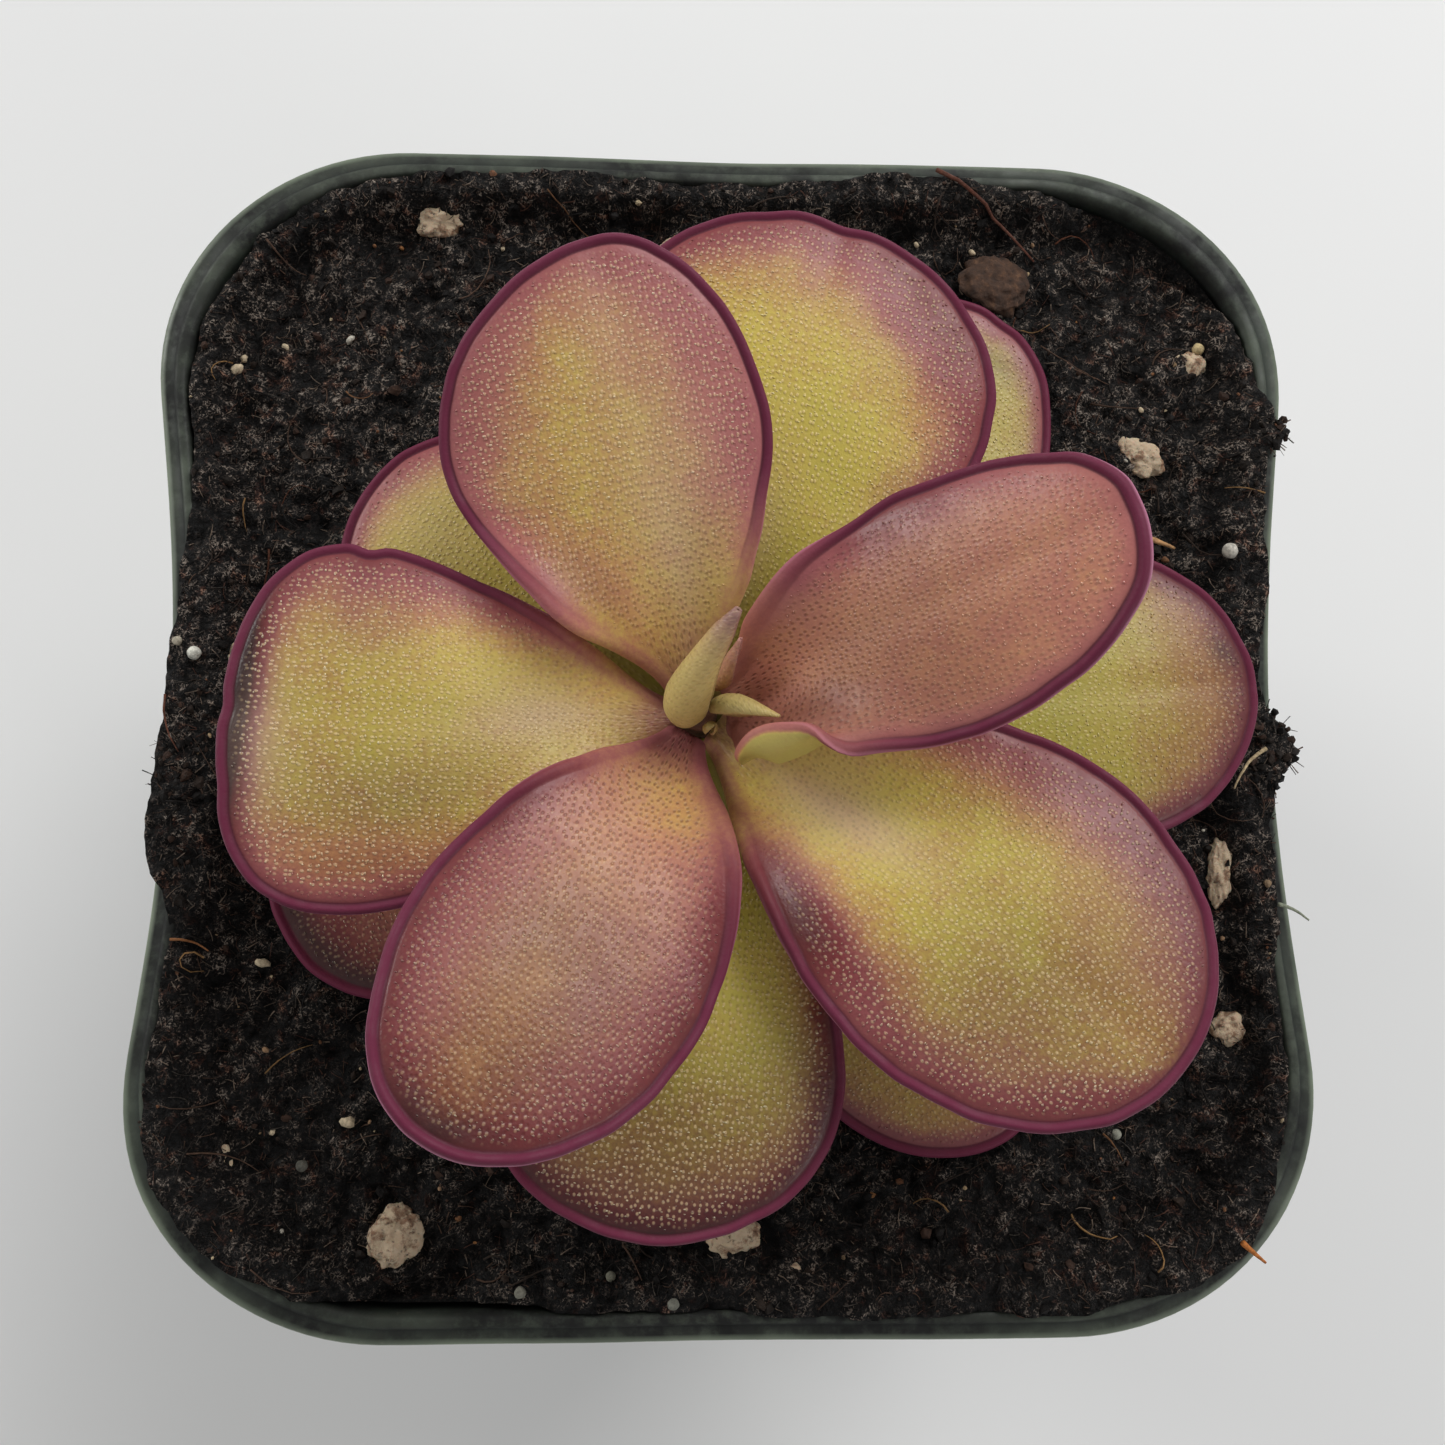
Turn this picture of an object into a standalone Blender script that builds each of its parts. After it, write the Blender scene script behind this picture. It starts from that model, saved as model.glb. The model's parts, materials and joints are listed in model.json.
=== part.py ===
"""Potted butterwort: a rosette of twelve broad leaves on a short stem, in a square nursery pot
filled with peat and perlite. All sizes below are millimetres; the meshes are made in metres.
The origin is the centre of the pot's footprint, +Z up, +Y away from the viewer."""

import math
import random

import bmesh
import bpy
import numpy as np

MM = 0.001
GAP = 0.3                     # room left between pieces that touch

# Pot
RIM_HALF = 38.0               # rim centre line to its outer edge
RIM_HEIGHT = 68.0
RIM_CORNER = 17.0             # corner radius at the rim
FOOT_HALF = 27.0
PINCH = 2.9                   # how far the two X walls bow in at the middle of the rim
COLLAR_BOTTOM = 59.0          # underside of the stacking collar
COLLAR_STEP = 1.4             # how far the collar stands out of the wall below it
LIP_WIDE = 1.0                # flange that turns out of the collar
RIDGE_INSET = 1.15            # outer edge of the ridge on top of the rim, from the lip's edge
RIM_WIDE = 1.9                # whole width of the rim seen from above
WALL = 1.0
WALL_LEVELS = (20.0, 40.0)    # heights between foot and collar where the bowed wall has a ring
FLOOR_BOTTOM = 1.6
FLOOR_TOP = 2.6
FOOT_RING = 2.2               # width of the ring that the pot stands on
DRAIN_RADIUS = 3.6
DRAIN_REACH = 17.5            # corner drain holes, from the axis along X and along Y
CORNER_STEPS = 6
SIDE_STEPS = 5

# Peat mix
SOIL_LEVEL = RIM_HEIGHT - 1.6
SOIL_BUMP = 0.45
SOIL_RINGS = 11

# Stem and roots
CROWN_X, CROWN_Y = -2.3, -0.6
CROWN_RADIUS = 2.3
CROWN_TOP = RIM_HEIGHT + 9.3
CROWN_BOTTOM = RIM_HEIGHT - 6.0
ROOT_COUNT = 9
ROOT_RADIUS = 0.75
ROOT_LENGTH = 27.0
ROOT_RINGS = 6
ROOT_SIDES = 6

# Leaves
LEAF_STEP = 0.75              # each older leaf starts this much lower on the stem
LEAF_TOP = RIM_HEIGHT + 8.9   # height of the youngest grown leaf's base
LEAF_THICK = 1.2
LEAF_NECK = 4.4
LEAF_RIM = 0.45               # radius of the rolled margin
LEAF_SHOULDER = 1.15
LEAF_CHANNEL = 0.10           # camber of the grooved neck
LEAF_DOME = 1.2               # how far the sides of the blade droop
EDGE_STEPS = 12

# Youngest first. rise and tip are the leaf's slope in degrees at its base and its tip,
# sweep is its sideways turn, widest is where along the leaf it is broadest, lean moves width
# from one side to the other, and drop lowers the base.
LEAVES = [
    dict(azimuth=17.6, length=25.7, width=13.8, rise=48, tip=30, widest=0.54, roll=-7, sweep=7, lean=-0.05,
         channel=0.24),
    dict(azimuth=241.4, length=26.8, width=17.0, rise=36, tip=12, widest=0.53, sweep=-8, lean=0.11),
    dict(azimuth=99.6, length=24.9, width=18.7, rise=34, tip=8, widest=0.57, sweep=10, lean=0.24),
    dict(azimuth=322.8, length=31.4, width=20.8, rise=28, tip=2, widest=0.58, sweep=-2, lean=0.04),
    dict(azimuth=186.1, length=24.9, width=21.2, rise=26, tip=-4, widest=0.72, sweep=-12, lean=0.05,
         blunt=2.45),
    dict(azimuth=73.5, length=28.7, width=24.0, rise=22, tip=-4, widest=0.64),
    dict(azimuth=265.2, length=28.0, width=21.0, rise=18, tip=-8, widest=0.67),
    dict(azimuth=144.4, length=22.3, width=17.0, rise=14, tip=-12, widest=0.62, drop=0.1),
    dict(azimuth=4.0, length=32.4, width=19.0, rise=15, tip=-11, widest=0.64, drop=-0.1),
    dict(azimuth=207.0, length=25.4, width=17.0, rise=6, tip=-6, widest=0.62, drop=0.4),
    dict(azimuth=53.2, length=31.4, width=18.0, rise=4, tip=-6, widest=0.62, drop=0.3),
    dict(azimuth=309.9, length=29.6, width=18.0, rise=4, tip=-6, widest=0.62, drop=0.1),
]

# Grains in the surface of the mix: x, y, half length, half width, half height, turn in degrees
PERLITE = [
    (-19.2, 33.9, 2.0, 1.4, 1.1, 15),
    (0.7, 34.0, 1.6, 1.2, 1.0, -30),
    (-3.7, 31.6, 1.5, 1.2, 1.0, 40),
    (27.4, 18.0, 1.7, 1.3, 1.0, -20),
    (31.6, -9.5, 2.1, 1.0, 1.0, 85),
    (32.0, -19.4, 1.3, 1.1, 0.9, 20),
    (-20.5, -32.1, 2.1, 1.7, 1.2, 65),
    (0.3, -31.8, 1.8, 1.2, 1.0, 10),
    (31.2, 24.6, 1.1, 0.9, 0.8, 0),
    (-31.4, 3.8, 1.0, 0.8, 0.8, 50),
    (4.1, -34.4, 1.1, 0.8, 0.8, -40),
    (-31.2, -27.6, 1.2, 0.8, 0.8, 75),
]
BARK = (18.0, 30.0, 2.6, 1.9, 1.0, -35)
GRAIN_PROUD = 0.35            # share of a grain's half height that it stands above the mix


def clear_scene():
    for item in list(bpy.data.objects):
        bpy.data.objects.remove(item, do_unlink=True)


def material(name, color, roughness, metallic=0.0):
    found = bpy.data.materials.get(name)
    if found:
        return found
    made = bpy.data.materials.new(name)
    made.use_nodes = True
    shader = made.node_tree.nodes["Principled BSDF"]
    shader.inputs["Base Color"].default_value = (*color, 1.0)
    shader.inputs["Roughness"].default_value = roughness
    shader.inputs["Metallic"].default_value = metallic
    return made


def mesh_object(name, points, faces, look=None, smooth=True, split=False):
    """One closed mesh from points in millimetres, its doubled points welded. split cuts its
    faces into well shaped triangles."""
    body = bmesh.new()
    verts = [body.verts.new([c * MM for c in p]) for p in points]
    for face in faces:
        if len(set(face)) == len(face):
            body.faces.new([verts[i] for i in face])
    bmesh.ops.remove_doubles(body, verts=body.verts, dist=0.005 * MM)
    bmesh.ops.dissolve_degenerate(body, edges=body.edges, dist=0.005 * MM)
    if split:
        bmesh.ops.triangulate(body, faces=[f for f in body.faces if len(f.verts) > 3], ngon_method="BEAUTY")
    bmesh.ops.recalc_face_normals(body, faces=body.faces)
    mesh = bpy.data.meshes.new(name)
    body.to_mesh(mesh)
    body.free()
    if smooth:
        mesh.shade_smooth()
    made = bpy.data.objects.new(name, mesh)
    bpy.context.collection.objects.link(made)
    if look:
        mesh.materials.append(look)
    return made


def make_cutter(item):
    item.hide_render = True
    item.display_type = "WIRE"
    return item


def apply_modifiers(item):
    depsgraph = bpy.context.evaluated_depsgraph_get()
    mesh = bpy.data.meshes.new_from_object(item.evaluated_get(depsgraph))
    item.modifiers.clear()
    item.data = mesh


def combine(item, others, operation):
    """Boolean with a list of closed pieces, which are then removed."""
    group = bpy.data.collections.new(item.name + "_pieces")
    for other in others:
        bpy.context.collection.objects.unlink(other)
        group.objects.link(make_cutter(other))
    bpy.context.scene.collection.children.link(group)
    modifier = item.modifiers.new(operation.title(), "BOOLEAN")
    modifier.operation = operation
    modifier.operand_type = "COLLECTION"
    modifier.collection = group
    modifier.solver = "EXACT"
    apply_modifiers(item)
    for other in others:
        bpy.data.objects.remove(other, do_unlink=True)
    bpy.data.collections.remove(group)


def loft(rings, cap_start=True, cap_end=True):
    """Points and faces of a tube through rings that all have the same number of points."""
    count = len(rings[0])
    points = [p for ring in rings for p in ring]
    faces = []
    for i in range(len(rings) - 1):
        for j in range(count):
            a, b = i * count + j, i * count + (j + 1) % count
            faces.append((a, b, b + count, a + count))
    last = (len(rings) - 1) * count
    if cap_start:
        faces.append(tuple(reversed(range(count))))
    if cap_end:
        faces.append(tuple(range(last, last + count)))
    return points, faces


def smoothstep(t):
    t = np.clip(t, 0.0, 1.0)
    return t * t * (3.0 - 2.0 * t)


# The pot's outline: a rounded square whose two X sides bow in towards the rim

def corner_radius(half):
    return RIM_CORNER * half / RIM_HALF


def pinch_at(height):
    return PINCH * max(0.0, height / RIM_HEIGHT) ** 2


def square_ring(half, height, inset=0.0):
    """Rounded square of the given half width, shrunk by inset with its corners kept parallel."""
    side = half - inset
    radius = max(corner_radius(half) - inset, 0.5)
    flat = side - radius
    outline = []
    for quarter in range(4):
        turn = quarter * math.pi / 2
        for step in range(CORNER_STEPS + 1):
            angle = turn + math.pi / 2 * step / CORNER_STEPS
            cx = flat * (1 if quarter in (0, 3) else -1)
            cy = flat * (1 if quarter in (0, 1) else -1)
            outline.append((cx + radius * math.cos(angle), cy + radius * math.sin(angle)))
        start = outline[-1]
        after = turn + math.pi / 2
        nx = flat * (1 if quarter in (2, 3) else -1)
        ny = flat * (1 if quarter in (0, 3) else -1)
        end = (nx + radius * math.cos(after), ny + radius * math.sin(after))
        for step in range(1, SIDE_STEPS):
            share = step / SIDE_STEPS
            px = start[0] + (end[0] - start[0]) * share
            py = start[1] + (end[1] - start[1]) * share
            outline.append((px, py))
    bow = pinch_at(height)
    ring = []
    for x, y in outline:
        pull = bow * math.cos(math.pi / 2 * min(abs(y) / side, 1.0)) ** 2 * x / side
        ring.append((x - pull, y, height))
    return ring


def wall_half(height):
    """Half width of the tapering wall's outer face."""
    top = RIM_HALF - LIP_WIDE - COLLAR_STEP - 0.6
    return FOOT_HALF + (top - FOOT_HALF) * height / COLLAR_BOTTOM


def inner_half(height):
    """Half width of the pot's inner face, with the step behind the stacking collar."""
    if height <= COLLAR_BOTTOM:
        return wall_half(height) - WALL
    share = (height - COLLAR_BOTTOM - 1.0) / (RIM_HEIGHT - COLLAR_BOTTOM - 1.0)
    high = RIM_HALF - RIM_WIDE
    return high - 0.9 * (1.0 - max(share, 0.0))


def make_pot():
    rim = RIM_HEIGHT
    profile = [
        (FOOT_HALF - FOOT_RING, FLOOR_BOTTOM),
        (FOOT_HALF - FOOT_RING, 0.0),
        (FOOT_HALF - 0.4, 0.0),
        (FOOT_HALF, 0.5),
    ]
    profile += [(wall_half(height), height) for height in WALL_LEVELS]
    profile += [
        (wall_half(COLLAR_BOTTOM - 1.0), COLLAR_BOTTOM - 1.0),
        (RIM_HALF - LIP_WIDE - 0.6, COLLAR_BOTTOM),
        (RIM_HALF - LIP_WIDE, rim - 1.6),
        (RIM_HALF, rim - 1.2),
        (RIM_HALF, rim - 0.5),
        (RIM_HALF - RIDGE_INSET + 0.15, rim - 0.3),
        (RIM_HALF - RIDGE_INSET, rim),
        (RIM_HALF - RIM_WIDE + 0.15, rim),
        (inner_half(rim - 0.6), rim - 0.6),
        (inner_half(COLLAR_BOTTOM + 1.0), COLLAR_BOTTOM + 1.0),
        (inner_half(COLLAR_BOTTOM), COLLAR_BOTTOM - 0.2),
    ]
    profile += [(inner_half(height), height) for height in reversed(WALL_LEVELS)]
    profile += [
        (inner_half(FLOOR_TOP + 1.0), FLOOR_TOP + 1.0),
        (inner_half(FLOOR_TOP) - 0.8, FLOOR_TOP),
    ]
    points, faces = loft([square_ring(half, height) for half, height in profile])
    look = material("pot_green", (0.028, 0.045, 0.034), 0.38)
    pot = mesh_object("pot", points, faces, look, smooth=False)
    drains = []
    for x, y in [(0, 0)] + [(sx * DRAIN_REACH, sy * DRAIN_REACH) for sx in (1, -1) for sy in (1, -1)]:
        turns = [2 * math.pi * (k + 0.5) / 12 for k in range(12)]
        circle = [(x + DRAIN_RADIUS * math.cos(t), y + DRAIN_RADIUS * math.sin(t)) for t in turns]
        rings = [[(px, py, height) for px, py in circle] for height in (FLOOR_BOTTOM - 1.0, FLOOR_TOP + 1.0)]
        drains.append(mesh_object("drain", *loft(rings)))
    combine(pot, drains, "DIFFERENCE")
    return pot


# The peat mix

def soil_height(x, y):
    """Relief of the surface: lumps, heaps against the two X walls, and a hollow at each corner."""
    lumps = (math.sin(0.61 * x + 1.3) * math.cos(0.53 * y - 0.4)
             + 0.6 * math.sin(1.13 * x - 0.9 * y + 2.0)
             + 0.5 * math.cos(1.37 * y + 0.8 * x))
    left_heap = 1.5 * math.exp(-((x + 35) / 5) ** 2 - ((y + 2) / 11) ** 2)
    right_heap = 1.3 * math.exp(-((x - 34) / 4) ** 2 - ((y - 6) / 14) ** 2)
    corner = -0.8 * smoothstep((math.hypot(x, y) - 36) / 8)
    under_leaves = -0.5 * math.exp(-(math.hypot(x - CROWN_X, y - CROWN_Y) / 22) ** 4)
    return SOIL_LEVEL + SOIL_BUMP * lumps / 2 + left_heap + right_heap + float(corner) + under_leaves


def soil_ring(share, height=None):
    """Ring of the surface at a share of the way from the axis to the wall."""
    edge = square_ring(inner_half(SOIL_LEVEL), SOIL_LEVEL, GAP)
    ring = []
    for x, y, _ in edge:
        px, py = x * share, y * share
        ring.append((px, py, soil_height(px, py) if height is None else height))
    return ring


def make_soil():
    floor = FLOOR_TOP + GAP
    levels = [
        (inner_half(FLOOR_TOP) - 1.2, floor),
        (inner_half(FLOOR_TOP + 1.4), FLOOR_TOP + 1.4),
    ]
    levels += [(inner_half(height), height) for height in WALL_LEVELS]
    levels += [
        (inner_half(COLLAR_BOTTOM), COLLAR_BOTTOM - 0.2 + GAP),
        (inner_half(COLLAR_BOTTOM + 1.0), COLLAR_BOTTOM + 1.0 + GAP),
        (inner_half(SOIL_LEVEL - 2.4), SOIL_LEVEL - 2.4),
    ]
    rings = [square_ring(half, height, GAP) for half, height in levels]
    for step in range(SOIL_RINGS):
        rings.append(soil_ring(1.0 - step / SOIL_RINGS))
    points, faces = loft(rings, cap_end=False)
    count = len(rings[0])
    centre = len(points)
    points.append((0.0, 0.0, soil_height(0.0, 0.0)))
    last = centre - count
    faces += [(last + j, last + (j + 1) % count, centre) for j in range(count)]
    return mesh_object("soil", points, faces, material("peat", (0.022, 0.014, 0.010), 0.9), smooth=False)


# The stem with its roots

def crown_stem(extra):
    profile = [
        (CROWN_RADIUS * 0.7, CROWN_BOTTOM - extra),
        (CROWN_RADIUS, CROWN_BOTTOM + 2.0),
        (CROWN_RADIUS, CROWN_TOP - 0.5),
        (CROWN_RADIUS - 0.4, CROWN_TOP),
    ]
    sides = 16
    rings = []
    for radius, height in profile:
        turns = [2 * math.pi * k / sides for k in range(sides)]
        wide = radius + extra
        rings.append([(CROWN_X + wide * math.cos(t), CROWN_Y + wide * math.sin(t), height) for t in turns])
    return mesh_object("stem", *loft(rings))


def root_path(index):
    """A root's centre line: out of the stem, then down through the mix in a slow wave."""
    draw = random.Random(40 + index)
    turn = 2 * math.pi * (index + draw.uniform(-0.2, 0.2)) / ROOT_COUNT
    dive = math.radians(draw.uniform(28, 62))
    bend = draw.uniform(-0.5, 0.5)
    length = ROOT_LENGTH * draw.uniform(0.7, 1.0)
    start = CROWN_BOTTOM + 0.6 + 0.32 * (index % 3)
    path = []
    for step in range(ROOT_RINGS):
        share = step / (ROOT_RINGS - 1)
        out = length * share
        side = turn + bend * share + 0.12 * math.sin(5 * share + index)
        flat = out * math.cos(dive) + 0.6
        drop = out * math.sin(dive) * (0.55 + 0.45 * share)
        path.append((CROWN_X + flat * math.cos(side), CROWN_Y + flat * math.sin(side), start - drop))
    return path


def make_root(index, extra):
    path = np.array(root_path(index))
    rings = []
    for k, point in enumerate(path):
        ahead = path[min(k + 1, ROOT_RINGS - 1)] - path[max(k - 1, 0)]
        ahead /= np.linalg.norm(ahead)
        across = np.cross(ahead, (0.0, 0.0, 1.0))
        across /= np.linalg.norm(across)
        up = np.cross(across, ahead)
        radius = ROOT_RADIUS * (1.0 - 0.62 * k / (ROOT_RINGS - 1)) + extra
        end = point + ahead * extra if k == ROOT_RINGS - 1 else point
        turns = [2 * math.pi * (j + 0.5) / ROOT_SIDES for j in range(ROOT_SIDES)]
        rings.append([tuple(end + radius * (math.cos(t) * across + math.sin(t) * up)) for t in turns])
    return mesh_object("root_%d" % index, *loft(rings))


def crown_pieces(extra=0.0):
    return crown_stem(extra), [make_root(index, extra) for index in range(ROOT_COUNT)]


def make_crown():
    stem, roots = crown_pieces()
    combine(stem, roots, "UNION")
    stem.name = "crown"
    stem.data.materials.clear()
    stem.data.materials.append(material("stem_brown", (0.12, 0.07, 0.045), 0.7))
    return stem


# Grown leaves

def half_width(x, leaf):
    """Half width of the blade at a distance along it, for a leaf that is even on both sides."""
    share = np.clip(x / leaf["length"], 0.0, 1.0)
    widest = leaf["widest"]
    neck, full = LEAF_NECK / 2, leaf["width"] / 2
    growth = np.sin(math.pi / 2 * np.clip(share / widest, 0.0, 1.0)) ** LEAF_SHOULDER
    blunt = leaf.get("blunt", 2.05)
    past = np.clip((share - widest) / (1.0 - widest), 0.0, 1.0)
    rounded = full * np.clip(1.0 - past ** blunt, 0.0, 1.0) ** (1.0 / blunt)
    return np.where(share < widest, neck + (full - neck) * growth, rounded)


def leaf_outline(leaf):
    """The edge from one side of the neck round the tip to the other, in even steps."""
    angle = np.linspace(0.0, math.pi / 2, 400)
    x = leaf["length"] * np.sin(angle)
    y = half_width(x, leaf)
    y[-1] = 0.0
    run = np.r_[0.0, np.cumsum(np.hypot(np.diff(x), np.diff(y)))]
    stops = np.linspace(0.0, run[-1], EDGE_STEPS + 1)
    px, py = np.interp(stops, run, x), np.interp(stops, run, y)
    lean = leaf.get("lean", 0.0)
    return np.r_[px, px[-2::-1]], np.r_[py * (1 + lean), -py[-2::-1] * (1 - lean)]


class LeafSheet:
    """Bends flat leaf coordinates (along, across, off the sheet) into the leaf's place."""

    def __init__(self, leaf, order):
        self.leaf = leaf
        self.order = order
        length = leaf["length"]
        self.run = np.linspace(0.0, length * 1.05, 60)
        share = self.run / length
        rise, tip = math.radians(leaf["rise"]), math.radians(leaf["tip"])
        slope = rise + (tip - rise) * smoothstep(share)
        turn = math.radians(leaf.get("sweep", 0.0)) * share
        along = np.c_[np.cos(slope) * np.cos(turn), np.cos(slope) * np.sin(turn), np.sin(slope)]
        across = np.c_[-np.sin(turn), np.cos(turn), 0.0 * turn]
        above = np.cross(along, across)
        step = self.run[1] - self.run[0]
        self.spine = np.zeros((60, 3))
        self.spine[1:] = np.cumsum((along[1:] + along[:-1]) / 2 * step, axis=0)
        roll = (math.radians(leaf.get("roll", 0.0)) * smoothstep(share * 1.5))[:, None]
        self.across = across * np.cos(roll) + above * np.sin(roll)
        self.above = above * np.cos(roll) - across * np.sin(roll)

    def base(self):
        """The leaf springs from the side of the stem, clear of it by the gap."""
        azimuth = math.radians(self.leaf["azimuth"])
        reach = CROWN_RADIUS + 1.3 * GAP + LEAF_THICK / 2 * math.sin(math.radians(self.leaf["rise"]))
        height = LEAF_TOP - LEAF_STEP * self.order - self.leaf.get("drop", 0.0)
        return np.array((CROWN_X + reach * math.cos(azimuth), CROWN_Y + reach * math.sin(azimuth), height))

    def read(self, table, x):
        return np.stack([np.interp(x, self.run, table[:, k]) for k in range(3)], axis=-1)

    def place(self, x, y, off):
        share = x / self.leaf["length"]
        groove = self.leaf.get("channel", LEAF_CHANNEL) * (1.0 - smoothstep(share / 0.45))
        dome = LEAF_DOME * smoothstep((share - 0.15) / 0.5) / (self.leaf["width"] / 2) ** 2
        camber = (groove - dome) * y ** 2
        steep = 2 * (groove - dome) * y
        across, above = self.read(self.across, x), self.read(self.above, x)
        normal = above - across * steep[..., None]
        normal /= np.linalg.norm(normal, axis=-1, keepdims=True)
        point = self.read(self.spine, x) + across * y[..., None] + above * camber[..., None]
        point += normal * (off + 0.0 * y)[..., None]
        azimuth = math.radians(self.leaf["azimuth"])
        c, s = math.cos(azimuth), math.sin(azimuth)
        turned = point @ np.array(((c, s, 0.0), (-s, c, 0.0), (0.0, 0.0, 1.0)))
        return turned + self.base()


def leaf_section():
    """Rings of the leaf from its midline over the top, round the rolled margin and back under:
    share of the way out, inset from the edge (None inside the blade) and height off the sheet."""
    half, rim = LEAF_THICK / 2, LEAF_RIM
    top = [(0.0, None, half), (0.45, None, half * 0.97), (0.8, None, half * 0.85)]
    margin = [
        (1.0, 2.0 * rim, half * 0.7),
        (1.0, 1.7 * rim, half * 0.7 + 0.55 * rim),
        (1.0, 1.0 * rim, half * 0.6 + 1.15 * rim),
        (1.0, 0.3 * rim, half * 0.5 + 0.75 * rim),
        (1.0, 0.0, 0.15),
        (1.0, 0.5 * rim, -half * 0.75),
    ]
    under = [(0.75, None, -half * 0.9), (0.35, None, -half), (0.0, None, -half)]
    return top + margin + under


def make_leaf(order, leaf):
    sheet = LeafSheet(leaf, order)
    x, y = leaf_outline(leaf)
    broad = leaf["widest"] * leaf["length"]
    mid = np.where(x < broad, x, broad + (x - broad) * 0.45)
    dx, dy = np.gradient(x), np.gradient(y)
    size = np.hypot(dx, dy)
    inx, iny = dy / size, -dx / size
    inx[0] = inx[-1] = 0.0
    iny[0], iny[-1] = -1.0, 1.0
    rings = []
    for share, inset, off in leaf_section():
        if inset is None:
            rings.append(sheet.place(mid + (x - mid) * share, y * share, off))
            continue
        room = np.minimum(inset, 0.8 * np.hypot(x - mid, y))
        rings.append(sheet.place(x + inx * room, y + iny * room, off))
    count = len(x)
    points = [tuple(p) for ring in rings for p in ring]
    faces = []
    for i in range(len(rings) - 1):
        for j in range(count - 1):
            a, b = i * count + j, i * count + j + 1
            faces += [(a, b, b + count), (a, b + count, a + count)]
    left = [i * count for i in range(len(rings))]
    right = [i * count + count - 1 for i in range(len(rings) - 2, 0, -1)]
    faces.append(tuple(left + right))
    look = material("leaf_green_mauve", (0.36, 0.24, 0.13), 0.35)
    return mesh_object("leaf_%02d" % (order + 1), points, faces, look, split=True)


# Young leaves in the middle of the rosette

def spindle(name, path, radii, flat, groove, color, sides=10):
    """A small leaf rolled or folded along its length: an oval section with a groove on one side."""
    path = np.array(path)
    rings = []
    for k, point in enumerate(path):
        ahead = path[min(k + 1, len(path) - 1)] - path[max(k - 1, 0)]
        if k == 0:
            ahead = np.array((0.0, 0.0, 1.0))
        ahead = ahead / np.linalg.norm(ahead)
        across = np.cross(ahead, (math.sin(0.3), -math.cos(0.3), 0.05))
        across /= np.linalg.norm(across)
        up = np.cross(across, ahead)
        ring = []
        for j in range(sides):
            turn = 2 * math.pi * j / sides
            dent = 1.0 - groove * math.exp(-((turn - math.pi / 2) / 0.5) ** 2)
            out = math.cos(turn) * across + flat * math.sin(turn) * up
            ring.append(tuple(point + radii[k] * dent * out))
        rings.append(ring)
    return mesh_object(name, *loft(rings), material(name, color, 0.4))


def curve_points(start, middle, end, count):
    """Points on a bent line from start to end that leans towards middle."""
    start, middle, end = (np.array(p, float) for p in (start, middle, end))
    path = []
    for k in range(count):
        t = k / (count - 1)
        path.append((1 - t) ** 2 * start + 2 * t * (1 - t) * middle + t * t * end)
    return path


def young_leaf(name, base, middle, end, radii, flat, groove, color, sides=8):
    """Base, middle and end are places beside the stem's axis and above its top."""
    foot = np.array((CROWN_X, CROWN_Y, CROWN_TOP + GAP))
    path = curve_points(foot + base, foot + middle, foot + end, len(radii))
    return spindle(name, path, radii, flat, groove, color, sides)


def make_young_leaves():
    young_leaf("young_leaf_rolled", (-0.75, -0.3, 0.0), (-0.9, 0.4, 4.0), (1.8, 3.9, 8.4),
               (1.0, 1.3, 1.35, 1.25, 1.1, 0.95, 0.75, 0.35), 0.85, 0.3, (0.30, 0.27, 0.10), sides=10)
    young_leaf("young_leaf_folded", (0.95, 1.25, 0.0), (1.7, 1.5, 1.6), (2.2, 3.2, 3.9),
               (0.42, 0.6, 0.6, 0.5, 0.15), 0.7, 0.1, (0.36, 0.22, 0.12))
    young_leaf("young_leaf_pointed", (1.1, -0.2, 0.0), (1.5, -0.3, 3.2), (4.3, -1.2, 4.4),
               (0.5, 0.75, 0.9, 0.9, 0.7, 0.45, 0.12), 0.75, 0.2, (0.38, 0.36, 0.10))
    young_leaf("young_leaf_bud", (0.55, -1.4, 0.0), (0.6, -1.4, 0.8), (0.9, -1.3, 1.5),
               (0.3, 0.4, 0.36, 0.1), 0.9, 0.1, (0.30, 0.42, 0.08))


# Grains and bark in the surface

def make_grain(name, row, seed, extra, look):
    """A rough lump: an icosphere pushed in and out, laid in the surface of the mix."""
    x, y, long_half, wide_half, high_half, turn = row
    draw = random.Random(seed)
    body = bmesh.new()
    bmesh.ops.create_icosphere(body, subdivisions=2 if long_half > 1.25 else 1, radius=1.0)
    c, s = math.cos(math.radians(turn)), math.sin(math.radians(turn))
    lift = soil_height(x, y) + high_half * (2 * GRAIN_PROUD - 1) / 2
    points = []
    for vert in body.verts:
        rough = draw.uniform(0.82, 1.12)
        px = vert.co.x * (long_half * rough + extra)
        py = vert.co.y * (wide_half * rough + extra)
        pz = vert.co.z * (high_half * rough + extra)
        points.append((x + px * c - py * s, y + px * s + py * c, lift + pz))
    body.verts.index_update()
    faces = [tuple(v.index for v in face.verts) for face in body.faces]
    body.free()
    return mesh_object(name, points, faces, look, smooth=False)


def surface_grains():
    rows = [("perlite_%02d" % (k + 1), row, 70 + k) for k, row in enumerate(PERLITE)]
    return rows + [("bark_lump", BARK, 99)]


def main():
    clear_scene()
    make_pot()
    soil = make_soil()
    stem, roots = crown_pieces(GAP)
    sockets = [make_grain("socket", row, seed, GAP, None) for _, row, seed in surface_grains()]
    combine(soil, [stem] + roots + sockets, "DIFFERENCE")
    make_crown()
    for order, leaf in enumerate(LEAVES):
        make_leaf(order, leaf)
    make_young_leaves()
    perlite_look = material("perlite", (0.55, 0.42, 0.31), 0.85)
    bark_look = material("bark", (0.07, 0.045, 0.03), 0.8)
    for name, row, seed in surface_grains():
        make_grain(name, row, seed, 0.0, bark_look if name == "bark_lump" else perlite_look)


main()
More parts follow.
